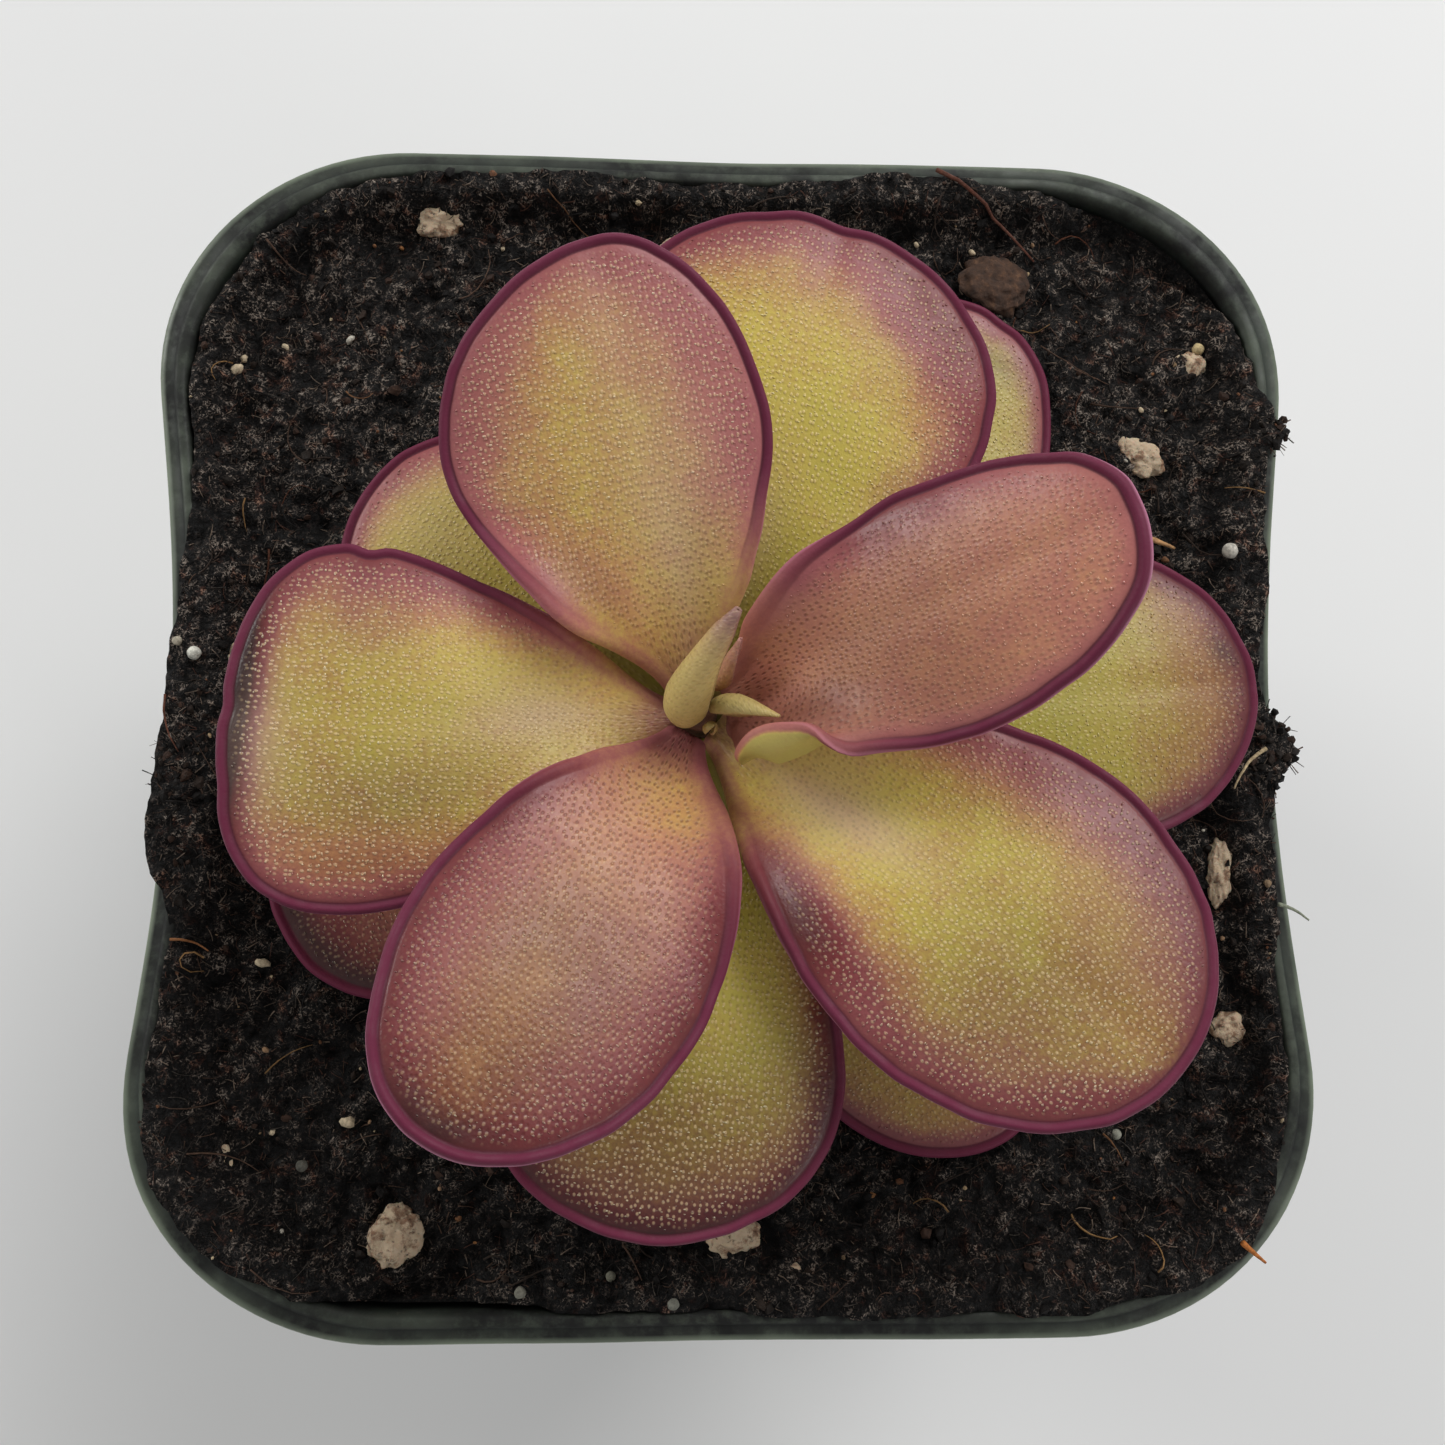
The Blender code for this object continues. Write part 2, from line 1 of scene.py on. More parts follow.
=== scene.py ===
"""Looks of the potted butterwort: fine leaves with their rolled margins and gland heads, young
leaves, peat surface with grains and fibres, and the square pot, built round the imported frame.
Lengths below are millimetres in the part's own frame; meshes are written in metres."""

import itertools
import json
import math
import random

import bmesh
import bpy
import numpy as np
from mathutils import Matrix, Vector

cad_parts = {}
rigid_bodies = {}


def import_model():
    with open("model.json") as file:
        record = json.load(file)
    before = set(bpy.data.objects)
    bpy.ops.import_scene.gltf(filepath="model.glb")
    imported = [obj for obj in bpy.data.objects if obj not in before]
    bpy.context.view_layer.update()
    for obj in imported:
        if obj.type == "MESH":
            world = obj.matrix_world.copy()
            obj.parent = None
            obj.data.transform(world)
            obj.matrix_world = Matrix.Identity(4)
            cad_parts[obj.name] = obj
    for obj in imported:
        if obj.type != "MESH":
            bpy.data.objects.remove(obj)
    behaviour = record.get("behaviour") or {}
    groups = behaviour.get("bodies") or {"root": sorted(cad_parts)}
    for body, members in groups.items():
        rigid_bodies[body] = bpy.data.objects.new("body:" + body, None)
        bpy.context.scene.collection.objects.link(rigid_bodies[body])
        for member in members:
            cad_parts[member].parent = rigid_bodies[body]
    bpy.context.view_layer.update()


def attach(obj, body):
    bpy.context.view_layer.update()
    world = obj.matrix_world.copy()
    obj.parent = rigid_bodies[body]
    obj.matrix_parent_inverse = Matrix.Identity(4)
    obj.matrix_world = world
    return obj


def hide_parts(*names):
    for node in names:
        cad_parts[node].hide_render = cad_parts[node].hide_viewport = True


MM = 0.001
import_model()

# Camera: almost straight above the pot
PHOTO_WIDE = 1445
FOCAL_PIXELS = 1600
SENSOR = 36.0
CAMERA_PLACE = (-5.268, -14.276, 168.519)
CAMERA_TURN = (7.9589, -2.7448, 0.0770)

# Sizes shared with the solids
GAP = 0.3
RIM_HALF = 38.0
RIM_HEIGHT = 68.0
RIM_CORNER = 17.0
FOOT_HALF = 27.0
PINCH = 2.9
COLLAR_BOTTOM = 59.0
COLLAR_STEP = 1.4
LIP_WIDE = 1.0
RIDGE_INSET = 1.15
RIM_WIDE = 1.9
WALL = 1.0
FLOOR_BOTTOM = 1.6
FLOOR_TOP = 2.6
FOOT_RING = 2.2
DRAIN_RADIUS = 3.6
DRAIN_REACH = 17.5
SOIL_LEVEL = RIM_HEIGHT - 1.6
SOIL_BUMP = 0.45
CROWN_X, CROWN_Y = -2.3, -0.6
CROWN_RADIUS = 2.3
CROWN_TOP = RIM_HEIGHT + 9.3
CROWN_BOTTOM = RIM_HEIGHT - 6.0
ROOT_COUNT = 9
ROOT_RADIUS = 0.75
ROOT_LENGTH = 27.0
LEAF_STEP = 0.75
LEAF_TOP = RIM_HEIGHT + 8.9
LEAF_THICK = 1.2
LEAF_NECK = 4.4
LEAF_SHOULDER = 1.15
LEAF_CHANNEL = 0.10
LEAF_DOME = 1.2

# Finer steps than the solids have
BLADE_HALF = 0.52
NECK_REACH = 1.7
EDGE_STEPS = 96
BLADE_RINGS = 15
UNDER_RINGS = 5
CORNER_STEPS = 24
SIDE_STEPS = 30
SOIL_CELLS = 128
OUTLINE_STEPS = 1600
EDGE_SAMPLES = 600
GROUND_LOW = -38.6
GROUND_STEP = 0.2


def linear(red, green, blue):
    """Linear colour from the usual 0 to 255 values."""
    out = []
    for value in (red, green, blue):
        share = value / 255.0
        out.append(share / 12.92 if share <= 0.04045 else ((share + 0.055) / 1.055) ** 2.4)
    return tuple(out)


# The leaves, youngest first, as in the solids: azimuth, rise and tip are directions in degrees, sweep
# and roll turn the leaf to the side and about its middle, widest is where along it the blade is
# widest, lean makes one side broader, blunt squares the tip, channel hollows the base, drop sets the
# leaf lower, flare widens one side of the base, and curl folds that side over. notches are (share
# round the edge, width, depth). The looks, where three numbers stand for base, middle and tip: ripe
# runs along the green parts, from 0 lime over gold and tan to 1 amber brown; flush is how far mauve
# covers the blade; dim darkens; border is the width in millimetres of the mauve edge on the left and
# the right side; deep darkens the mauve; rib is how pale the midrib is; dots and shine are how strong
# the dark dots, partly a painted shadow on one side of each gland, and the painted glints on the
# glands are; spots are (share along, share across, radius along, radius across, what, amount).
# Spots of pale are a painted sheen over the blade.
LEAVES = [
    dict(azimuth=17.6, length=25.7, width=13.8, rise=48, tip=30, widest=0.54, roll=-7, sweep=7, lean=-0.05,
         channel=0.24, dots=0.9, shine=0.26,
         ripe=(0.85, 0.88, 0.5), flush=(0.8, 0.58, 0.8), dim=(0.02, 0.02, -0.1), border=(2.0, 1.2), deep=0.1,
         spots=[(0.3, -0.1, 0.2, 0.4, "flush", -0.15), (0.5, 0.8, 0.2, 0.3, "deep", 0.4),
                (0.22, -0.7, 0.16, 0.4, "dim", 0.3), (0.75, -0.7, 0.25, 0.4, "dim", -0.22),
                (0.14, 0.3, 0.12, 0.6, "dim", -0.2),
                (0.14, 0.2, 0.12, 0.6, "ripe", -0.25), (0.6, 0.8, 0.25, 0.3, "dim", 0.1)], rib=0.1,
         curl=dict(side=-1, start=4.5, radius=0.55, most=1.8, until=0.3, fade=0.08), flare=2.9),
    dict(azimuth=241.4, length=26.8, width=17.0, rise=36, tip=12, widest=0.53, sweep=-8, lean=0.11,
         dots=1.0, shine=0.5,
         ripe=(0.4, 1.0, 1.0), flush=(0.66, 0.56, 0.62), dim=(-0.05, 0.12, 0.14),
         border=(3.6, 3.2), deep=0.6,
         spots=[(0.62, 0.0, 0.22, 0.3, "flush", -0.3), (0.6, 0.0, 0.25, 0.3, "deep", -0.25),
                (0.92, 0.1, 0.12, 0.6, "deep", 0.3), (0.6, 0.45, 0.2, 0.25, "dim", 0.1),
                (0.62, 0.0, 0.3, 0.25, "ripe", -0.2), (0.25, 0.0, 0.2, 0.6, "dim", -0.12),
                (0.25, 0.0, 0.2, 0.5, "flush", -0.15),
                (0.5, 0.0, 0.2, 0.35, "dim", 0.07), (0.5, 0.0, 0.2, 0.3, "ripe", 0.2),
                (0.84, 0.15, 0.13, 0.4, "flush", -0.3),
                (0.84, 0.15, 0.15, 0.5, "dim", 0.12), (0.13, 0.45, 0.1, 0.5, "flush", -0.3)], rib=0.06),
    dict(azimuth=99.6, length=24.9, width=18.7, rise=34, tip=8, widest=0.57, sweep=10, lean=0.24,
         dots=0.7, shine=0.9,
         ripe=(0.36, 0.36, 0.5), flush=(0.35, 0.42, 0.66), dim=(-0.15, -0.15, 0.04),
         border=(2.8, 5.2), deep=0.2,
         spots=[(0.16, -0.2, 0.2, 0.5, "pale", 0.16), (0.5, -0.1, 0.25, 0.4, "pale", 0.16),
                (0.72, 0.42, 0.2, 0.3, "flush", -0.15), (0.28, -0.55, 0.14, 0.3, "flush", -0.3),
                (0.28, 0.8, 0.14, 0.25, "dim", 0.35), (0.28, 0.75, 0.14, 0.25, "ripe", 0.3),
                (0.8, 0.1, 0.15, 0.3, "pale", 0.12), (0.25, -0.7, 0.12, 0.3, "dim", -0.2),
                (0.73, 0.95, 0.2, 0.3, "flush", 0.35), (0.73, 0.95, 0.2, 0.3, "dim", 0.12),
                (0.6, -0.5, 0.25, 0.3, "flush", 0.25), (0.6, 0.1, 0.3, 0.5, "dim", 0.06)], rib=0.2),
    dict(azimuth=322.8, length=31.4, width=20.8, rise=28, tip=2, widest=0.58, sweep=-2, lean=0.04,
         dots=0.45, shine=0.8,
         ripe=(0.33, 0.34, 0.4), flush=(0.15, 0.12, 0.3), dim=(-0.3, 0.06, 0.2),
         border=(4.4, 4.0), deep=0.45,
         spots=[(0.34, -0.72, 0.16, 0.28, "flush", 0.7), (0.34, -0.72, 0.16, 0.25, "deep", 0.5),
                (0.34, -0.72, 0.2, 0.3, "ripe", 0.4), (0.55, 0.8, 0.25, 0.25, "ripe", 0.5),
                (0.28, 0.05, 0.14, 0.16, "pale", 0.2), (0.68, -0.3, 0.2, 0.6, "dim", 0.3),
                (0.7, -0.4, 0.14, 0.35, "flush", 0.25), (0.6, 0.8, 0.2, 0.25, "flush", 0.2),
                (0.14, 0.5, 0.12, 0.6, "pale", 0.2), (0.3, 0.2, 0.14, 0.5, "dim", -0.2),
                (0.2, 0.2, 0.12, 0.5, "pale", 0.12), (0.85, 0.75, 0.2, 0.3, "dim", 0.12),
                (0.8, 0.18, 0.13, 0.35, "dim", 0.16), (0.8, 0.18, 0.13, 0.35, "ripe", 0.2),
                (0.94, 0.0, 0.07, 0.4, "flush", -0.4),
                (0.2, -0.28, 0.12, 0.3, "pale", 0.16), (0.46, -0.85, 0.12, 0.2, "deep", -0.2)]),
    dict(azimuth=186.1, length=24.9, width=21.2, rise=26, tip=-4, widest=0.72, sweep=-12, lean=0.05,
         blunt=2.45, dots=0.5, shine=1.0,
         ripe=(0.34, 0.28, 0.35), flush=(0.4, 0.22, 0.35), dim=(-0.08, 0.05, 0.1),
         border=(1.8, 2.6), deep=0.45,
         spots=[(0.65, 0.85, 0.3, 0.25, "ripe", 0.65), (0.6, -0.8, 0.4, 0.3, "ripe", 0.3),
                (0.25, -0.1, 0.14, 0.3, "pale", 0.2), (0.9, 0.2, 0.07, 0.4, "pale", 0.35),
                (0.3, -0.7, 0.3, 0.4, "dim", -0.35), (1.0, 0.2, 0.05, 1.2, "deep", 0.6),
                (0.7, -0.8, 0.2, 0.3, "dim", 0.04), (0.6, 0.45, 0.22, 0.25, "dim", 0.25),
                (0.98, -0.5, 0.07, 0.6, "dim", 0.32), (0.97, -0.3, 0.06, 0.8, "flush", 0.7),
                (0.97, -0.3, 0.05, 0.8, "deep", 0.45),
                (0.68, -0.6, 0.15, 0.3, "dim", 0.16), (0.68, -0.6, 0.15, 0.3, "flush", 0.35),
                (0.96, 0.15, 0.045, 0.6, "dim", 0.4), (0.97, 0.15, 0.05, 0.6, "flush", 0.6),
                (0.97, 0.15, 0.05, 0.6, "deep", 0.4), (0.75, 0.0, 0.2, 0.4, "dim", 0.08),
                (0.6, 0.45, 0.22, 0.25, "flush", 0.15), (0.7, 0.9, 0.2, 0.2, "dim", -0.2)],
         notches=[(0.72, 0.012, 0.35), (0.50, 0.01, 0.12)]),
    dict(azimuth=73.5, length=28.7, width=24.0, rise=22, tip=-4, widest=0.64, dots=0.4, shine=0.9,
         ripe=(0.2, 0.28, 0.5), flush=(0.0, 0.0, 0.4), dim=(-0.1, -0.05, 0.0), border=(3.2, 4.8), deep=0.45,
         spots=[(0.88, -0.5, 0.14, 0.3, "flush", 0.4), (0.9, 0.3, 0.12, 0.4, "flush", 0.15),
                (0.82, -0.68, 0.14, 0.25, "flush", 0.3), (0.82, -0.68, 0.14, 0.25, "deep", 0.2),
                (0.7, -0.8, 0.14, 0.25, "dim", -0.1), (0.7, -0.8, 0.2, 0.25, "ripe", 0.3)],
         notches=[(0.50, 0.02, 0.25), (0.44, 0.015, 0.2)]),
    dict(azimuth=265.2, length=28.0, width=21.0, rise=18, tip=-8, widest=0.67, dots=0.7, shine=0.9,
         ripe=(0.05, 0.25, 0.7), flush=(0.0, 0.15, 0.45), dim=(-0.25, 0.22, 0.56),
         border=(2.8, 2.6), deep=0.7,
         spots=[(0.72, 0.1, 0.14, 0.5, "dim", 0.2), (0.42, 0.42, 0.16, 0.4, "dim", -0.3),
                (0.88, 0.0, 0.1, 0.6, "dim", 0.12)]),
    dict(azimuth=144.4, length=22.3, width=17.0, rise=14, tip=-12, widest=0.62, drop=0.1, shine=0.8,
         ripe=(0.1, 0.15, 0.3), flush=(0.0, 0.0, 0.3), dim=(-0.3, -0.3, -0.1), border=(2.0, 3.4), deep=0.4,
         spots=[(0.75, 0.0, 0.2, 0.6, "pale", 0.2)]),
    dict(azimuth=4.0, length=32.4, width=19.0, rise=15, tip=-11, widest=0.64, drop=-0.1,
         dots=0.3, shine=0.5,
         ripe=(0.1, 0.05, 0.8), flush=(0.0, 0.0, 0.2), dim=(0.1, 0.2, 0.46), border=(2.2, 1.8), deep=0.5,
         spots=[(0.93, 0.35, 0.03, 0.14, "dim", 0.3), (0.96, 0.0, 0.08, 0.8, "ripe", 0.2),
                (0.82, -0.68, 0.15, 0.3, "flush", 0.2)]),
    dict(azimuth=207.0, length=25.4, width=17.0, rise=6, tip=-6, widest=0.62, drop=0.4, shine=0.4,
         ripe=(0.5, 0.6, 0.9), flush=(0.3, 0.5, 0.8), dim=(0.1, 0.1, 0.1), border=(4.0, 4.0), deep=0.95,
         spots=[]),
    dict(azimuth=53.2, length=31.4, width=18.0, rise=4, tip=-6, widest=0.62, drop=0.3, shine=0.5,
         ripe=(0.2, 0.2, 0.4), flush=(0.0, 0.0, 0.2), dim=(0.16, 0.18, 0.2), border=(2.4, 2.0), deep=0.2,
         spots=[(0.9, -0.2, 0.04, 0.3, "dim", 0.3)]),
    dict(azimuth=309.9, length=29.6, width=18.0, rise=4, tip=-6, widest=0.62, drop=0.1, shine=0.5,
         ripe=(0.45, 0.4, 0.6), flush=(0.05, 0.1, 0.25), dim=(0.35, 0.32, 0.28), border=(2.2, 1.8), deep=0.4,
         spots=[]),
]

# Grains in the surface of the mix: x, y, half length, half width, half height, turn in degrees
PERLITE = [
    (-19.2, 33.9, 2.0, 1.4, 1.1, 15),
    (0.7, 34.0, 1.6, 1.2, 1.0, -30),
    (-3.7, 31.6, 1.5, 1.2, 1.0, 40),
    (27.4, 18.0, 1.7, 1.3, 1.0, -20),
    (31.6, -9.5, 2.1, 1.0, 1.0, 85),
    (32.0, -19.4, 1.3, 1.1, 0.9, 20),
    (-20.5, -32.1, 2.1, 1.7, 1.2, 65),
    (0.3, -31.8, 1.8, 1.2, 1.0, 10),
    (31.2, 24.6, 1.1, 0.9, 0.8, 0),
    (-31.4, 3.8, 1.0, 0.8, 0.8, 50),
    (4.1, -34.4, 1.1, 0.8, 0.8, -40),
    (-31.2, -27.6, 1.2, 0.8, 0.8, 75),
]
BARK = (18.0, 30.0, 2.6, 1.9, 1.0, -35)
GRAIN_PROUD = 0.35


# Repeatable smooth noise

CELL_FACTORS = (73856093, 19349663, 83492791)
MIX_FACTORS = ((15, 2246822519), (13, 3266489917), (15, 2246822519), (13, 3266489917))


def cell_values(cells, seed):
    """A repeatable number from 0 to 1 for each whole-numbered cell."""
    wrap = np.uint64(0xFFFFFFFF)
    c = cells.astype(np.int64).astype(np.uint64) & wrap
    n = np.uint64(seed * 7919 + 17)
    for axis, factor in enumerate(CELL_FACTORS):
        n = n ^ (c[..., axis] * np.uint64(factor))
    n = n & wrap
    for shift, factor in MIX_FACTORS:
        n = ((n ^ (n >> np.uint64(shift))) * np.uint64(factor)) & wrap
    return (n ^ (n >> np.uint64(16))).astype(float) / float(wrap)


def noise(points, size, seed):
    """Value noise from -1 to 1 with lumps about as wide as size."""
    q = np.asarray(points, float) / size
    cell = np.floor(q)
    f = smoothstep(q - cell)
    total = 0.0
    for corner in itertools.product((0, 1), repeat=3):
        near = np.abs(1 - np.array(corner) - f)
        total = total + near[..., 0] * near[..., 1] * near[..., 2] * cell_values(cell + corner, seed)
    return total * 2.0 - 1.0


def layered(points, size, seed, layers=3, fade=0.5):
    """Noise in layers, each half as wide as the one before and weaker by fade."""
    total, whole = 0.0, 0.0
    for layer in range(layers):
        total = total + fade ** layer * noise(points, size / 2 ** layer, seed + layer)
        whole += fade ** layer
    return total / whole


def clumps(points, size, seed, axes=2):
    """Distance to the nearest of scattered centres, over the cell size: 0 in a clump's middle. The
    centres lie in the level plane with two axes, and in space with three."""
    q = np.asarray(points, float)[..., :axes] / size
    cell = np.floor(q)
    best = np.full(q.shape[:-1], 9.0)
    for step in itertools.product((-1, 0, 1), repeat=axes):
        near = cell + step
        whole = near if axes == 3 else np.concatenate([near, np.zeros_like(near[..., :1])], axis=-1)
        centre = near + np.stack([cell_values(whole, seed + 50 * k) for k in range(axes)], axis=-1)
        best = np.minimum(best, np.linalg.norm(q - centre, axis=-1))
    return best


def smoothstep(t):
    t = np.clip(t, 0.0, 1.0)
    return t * t * (3.0 - 2.0 * t)


# Meshes

def mesh_piece(name, points, faces, look, slot, values=None, smooth=True):
    """A piece from points in millimetres, with named numbers or colours kept at its points."""
    mesh = bpy.data.meshes.new(name)
    mesh.from_pydata((np.asarray(points, float) * MM).tolist(), [], faces)
    mesh.validate()
    for key, data in (values or {}).items():
        data = np.asarray(data, np.float32)
        if data.ndim == 2:
            kept = mesh.attributes.new(key, "FLOAT_COLOR", "POINT")
            kept.data.foreach_set("color", np.c_[data, np.ones(len(data))].astype(np.float32).ravel())
        else:
            kept = mesh.attributes.new(key, "FLOAT", "POINT")
            kept.data.foreach_set("value", data)
    if smooth:
        mesh.shade_smooth()
    mesh.materials.append(look)
    piece = bpy.data.objects.new(name, mesh)
    bpy.context.collection.objects.link(piece)
    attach(piece, "root")
    return piece


class Parts:
    """Gathers many small closed shells, with a colour at each point, into one mesh."""

    def __init__(self):
        self.points, self.faces, self.tints, self.count = [], [], [], 0

    def add(self, points, faces, tint):
        points = np.asarray(points, float)
        self.points.append(points)
        self.faces += [tuple(i + self.count for i in face) for face in faces]
        self.tints.append(np.broadcast_to(tint, (len(points), 3)))
        self.count += len(points)

    def piece(self, name, look, smooth=True):
        mesh_piece(name, np.vstack(self.points), self.faces, look, "soil",
                   {"tint": np.vstack(self.tints)}, smooth)


def loft(rings):
    """Points and faces of a closed tube through rings that all have the same number of points."""
    count = len(rings[0])
    last = (len(rings) - 1) * count
    faces = []
    for start in range(0, last, count):
        for j in range(count):
            a, b = start + j, start + (j + 1) % count
            faces.append((a, b, b + count, a + count))
    faces.append(tuple(reversed(range(count))))
    faces.append(tuple(range(last, last + count)))
    return np.vstack(rings), faces


def thread(path, radius, sides=4):
    """Points and faces of a thin tube along a path, pointed at its far end."""
    path = np.asarray(path, float)
    turns = np.array([2 * math.pi * j / sides for j in range(sides)])[:, None]
    rings = []
    for k, point in enumerate(path):
        ahead = path[min(k + 1, len(path) - 1)] - path[max(k - 1, 0)]
        ahead /= np.linalg.norm(ahead) + 1e-9
        across = np.cross(ahead, (0.03, 0.02, 1.0))
        across /= np.linalg.norm(across) + 1e-9
        up = np.cross(across, ahead)
        wide = radius * (1.0 - 0.6 * k / (len(path) - 1))
        rings.append(point + wide * (np.cos(turns) * across + np.sin(turns) * up))
    return loft(rings)


BALLS = {}


def ball(fineness):
    """Points and faces of a round ball of radius 1."""
    if fineness not in BALLS:
        body = bmesh.new()
        bmesh.ops.create_icosphere(body, subdivisions=fineness, radius=1.0)
        points = np.array([tuple(v.co) for v in body.verts])
        BALLS[fineness] = points, [tuple(v.index for v in face.verts) for face in body.faces]
        body.free()
    return BALLS[fineness]


def turned(points, degrees):
    """Points turned about the upright axis."""
    c, s = math.cos(math.radians(degrees)), math.sin(math.radians(degrees))
    return points @ np.array(((c, s, 0.0), (-s, c, 0.0), (0.0, 0.0, 1.0)))


def face_outward(piece):
    body = bmesh.new()
    body.from_mesh(piece.data)
    bmesh.ops.recalc_face_normals(body, faces=body.faces)
    body.to_mesh(piece.data)
    body.free()


def combine(piece, kind, shells):
    """Joins closed shells, given as points and faces, to a piece (UNION) or cuts them out of it
    (DIFFERENCE)."""
    face_outward(piece)
    group = bpy.data.collections.new("shells")
    bpy.context.scene.collection.children.link(group)
    for points, faces in shells:
        mesh = bpy.data.meshes.new("shell")
        mesh.from_pydata((points * MM).tolist(), [], faces)
        shell = bpy.data.objects.new("shell", mesh)
        group.objects.link(shell)
        face_outward(shell)
    modifier = piece.modifiers.new("shells", "BOOLEAN")
    modifier.operation, modifier.operand_type, modifier.solver = kind, "COLLECTION", "EXACT"
    modifier.collection = group
    bpy.context.view_layer.update()
    made = bpy.data.meshes.new_from_object(piece.evaluated_get(bpy.context.evaluated_depsgraph_get()))
    piece.modifiers.clear()
    piece.data = made
    for shell in list(group.objects):
        bpy.data.objects.remove(shell, do_unlink=True)
    bpy.data.collections.remove(group)


# Materials

# The colour sockets of a mix node
MIX_A, MIX_B, MIX_RESULT = 6, 7, 2


class Look:
    """A Principled material and short calls for the nodes that feed it."""

    def __init__(self, name, **settings):
        self.material = bpy.data.materials.new(name)
        self.material.use_nodes = True
        self.tree = self.material.node_tree
        self.shader = self.tree.nodes["Principled BSDF"]
        self.set(**settings)
        self.where = self.node("TexCoord").outputs["Object"]

    def feed(self, socket, source):
        """Links a node's output, or sets a plain value."""
        if isinstance(source, bpy.types.NodeSocket):
            self.tree.links.new(source, socket)
        elif isinstance(source, (tuple, list)) and len(source) == 3 and len(socket.default_value) == 4:
            socket.default_value = (*source, 1.0)
        else:
            socket.default_value = source

    def set(self, **sources):
        for key, source in sources.items():
            self.feed(self.shader.inputs[key.replace("_", " ")], source)
        return self.material

    def node(self, kind, **sources):
        """A new node, with its inputs fed by name."""
        node = self.tree.nodes.new("ShaderNode" + kind)
        for key, source in sources.items():
            self.feed(node.inputs[key.replace("_", " ")], source)
        return node

    def value(self, key, kind="Fac"):
        """The number, or with kind Color the colour, that a mesh keeps at its points."""
        node = self.node("Attribute")
        node.attribute_name = key
        return node.outputs[kind]

    def noise(self, size, detail=3.0, rough=0.55):
        node = self.node("TexNoise", Vector=self.where, Scale=1.0 / (size * MM), Detail=detail,
                         Roughness=rough)
        return node.outputs["Fac"]

    def streaks(self, long, thin, degrees):
        """Noise drawn out in one level direction."""
        turn = self.node("Mapping", Vector=self.where, Rotation=(0.0, 0.0, math.radians(degrees)),
                         Scale=(long * MM, thin * MM, 4 * thin * MM))
        turn.vector_type = "TEXTURE"
        return self.node("TexNoise", Vector=turn.outputs["Vector"], Scale=1.0, Detail=2.0).outputs["Fac"]

    def cells(self, size):
        return self.node("TexVoronoi", Vector=self.where, Scale=1.0 / (size * MM)).outputs["Distance"]

    def leaf_cells(self, size, ahead=0.0, beside=0.0):
        """Distance to the centre of the nearest gland, in cells of that size along and across the
        leaf's own flat coordinates, seen from a place that far ahead and beside."""
        x = self.math("DIVIDE", self.add(self.value("along"), ahead), size[0])
        y = self.math("DIVIDE", self.add(self.value("aside"), beside), size[1])
        flat = self.node("CombineXYZ", X=x, Y=y).outputs["Vector"]
        node = self.node("TexVoronoi", Vector=flat, Scale=1.0, Randomness=0.6)
        node.voronoi_dimensions = "2D"
        return node.outputs["Distance"]

    def math(self, kind, a, b=0.0):
        node = self.node("Math")
        node.operation = kind
        self.feed(node.inputs[0], a)
        self.feed(node.inputs[1], b)
        return node.outputs["Value"]

    def add(self, a, b):
        return self.math("ADD", a, b)

    def less(self, a, b):
        return self.math("SUBTRACT", a, b)

    def times(self, a, b):
        return self.math("MULTIPLY", a, b)

    def spread(self, source, low, high, out_low=0.0, out_high=1.0):
        """A smooth step from low to high, drawn out to other values."""
        node = self.node("MapRange", Value=source, From_Min=low, From_Max=high, To_Min=out_low,
                         To_Max=out_high)
        node.interpolation_type = "SMOOTHSTEP"
        return node.outputs["Result"]

    def ramp(self, source, stops):
        """A colour between stops, given as (place, red, green, blue)."""
        node = self.node("ValToRGB", Fac=source)
        points = node.color_ramp.elements
        while len(points) < len(stops):
            points.new(0.5)
        for point, (place, *color) in zip(points, stops):
            point.position = place
            point.color = (*linear(*color), 1.0)
        return node.outputs["Color"]

    def mix(self, share, a, b, kind="MIX"):
        node = self.node("Mix")
        node.data_type = "RGBA"
        node.blend_type = kind
        self.feed(node.inputs["Factor"], share)
        self.feed(node.inputs[MIX_A], a)
        self.feed(node.inputs[MIX_B], b)
        return node.outputs[MIX_RESULT]

    def bump(self, height, reach, strength=1.0, under=None):
        """Bump from a height of 0 to 1 that stands for reach millimetres."""
        node = self.node("Bump", Strength=strength, Distance=reach * MM, Height=height)
        if under is not None:
            self.feed(node.inputs["Normal"], under)
        return node.outputs["Normal"]


# Colours of the leaves: the green parts from lime to amber brown, the mauve parts from rose to
# nearly black, and the margin from its dark line, painted shade in the groove inside the roll, over
# the roll to its pale edge, partly its own colour and partly a painted highlight
GREENS = [(0.0, 168, 160, 62), (0.32, 191, 172, 76), (0.5, 186, 148, 76), (0.7, 182, 132, 82),
          (1.0, 138, 88, 46)]
MAUVES = [(0.0, 176, 114, 98), (0.35, 152, 84, 86), (0.7, 114, 46, 48), (1.0, 64, 28, 28)]
MARGINS = [(0.45, 84, 22, 42), (0.64, 102, 26, 56), (0.86, 102, 26, 56), (1.0, 170, 104, 130)]
PALE_PINK = linear(206, 172, 156)
LEAF_LIGHT = 1.06

# Fine glands drawn in the leaf's material, each a painted glint with a dark dot off to one side that
# is partly its painted shadow: cell size along and across, and where each one's dark side lies
GLAND_CELL = (0.46, 0.36)
GLAND_SHADE = (0.15, 0.07)
GLAND_DARK = linear(74, 34, 24)
GLAND_GLINT = linear(236, 206, 160)


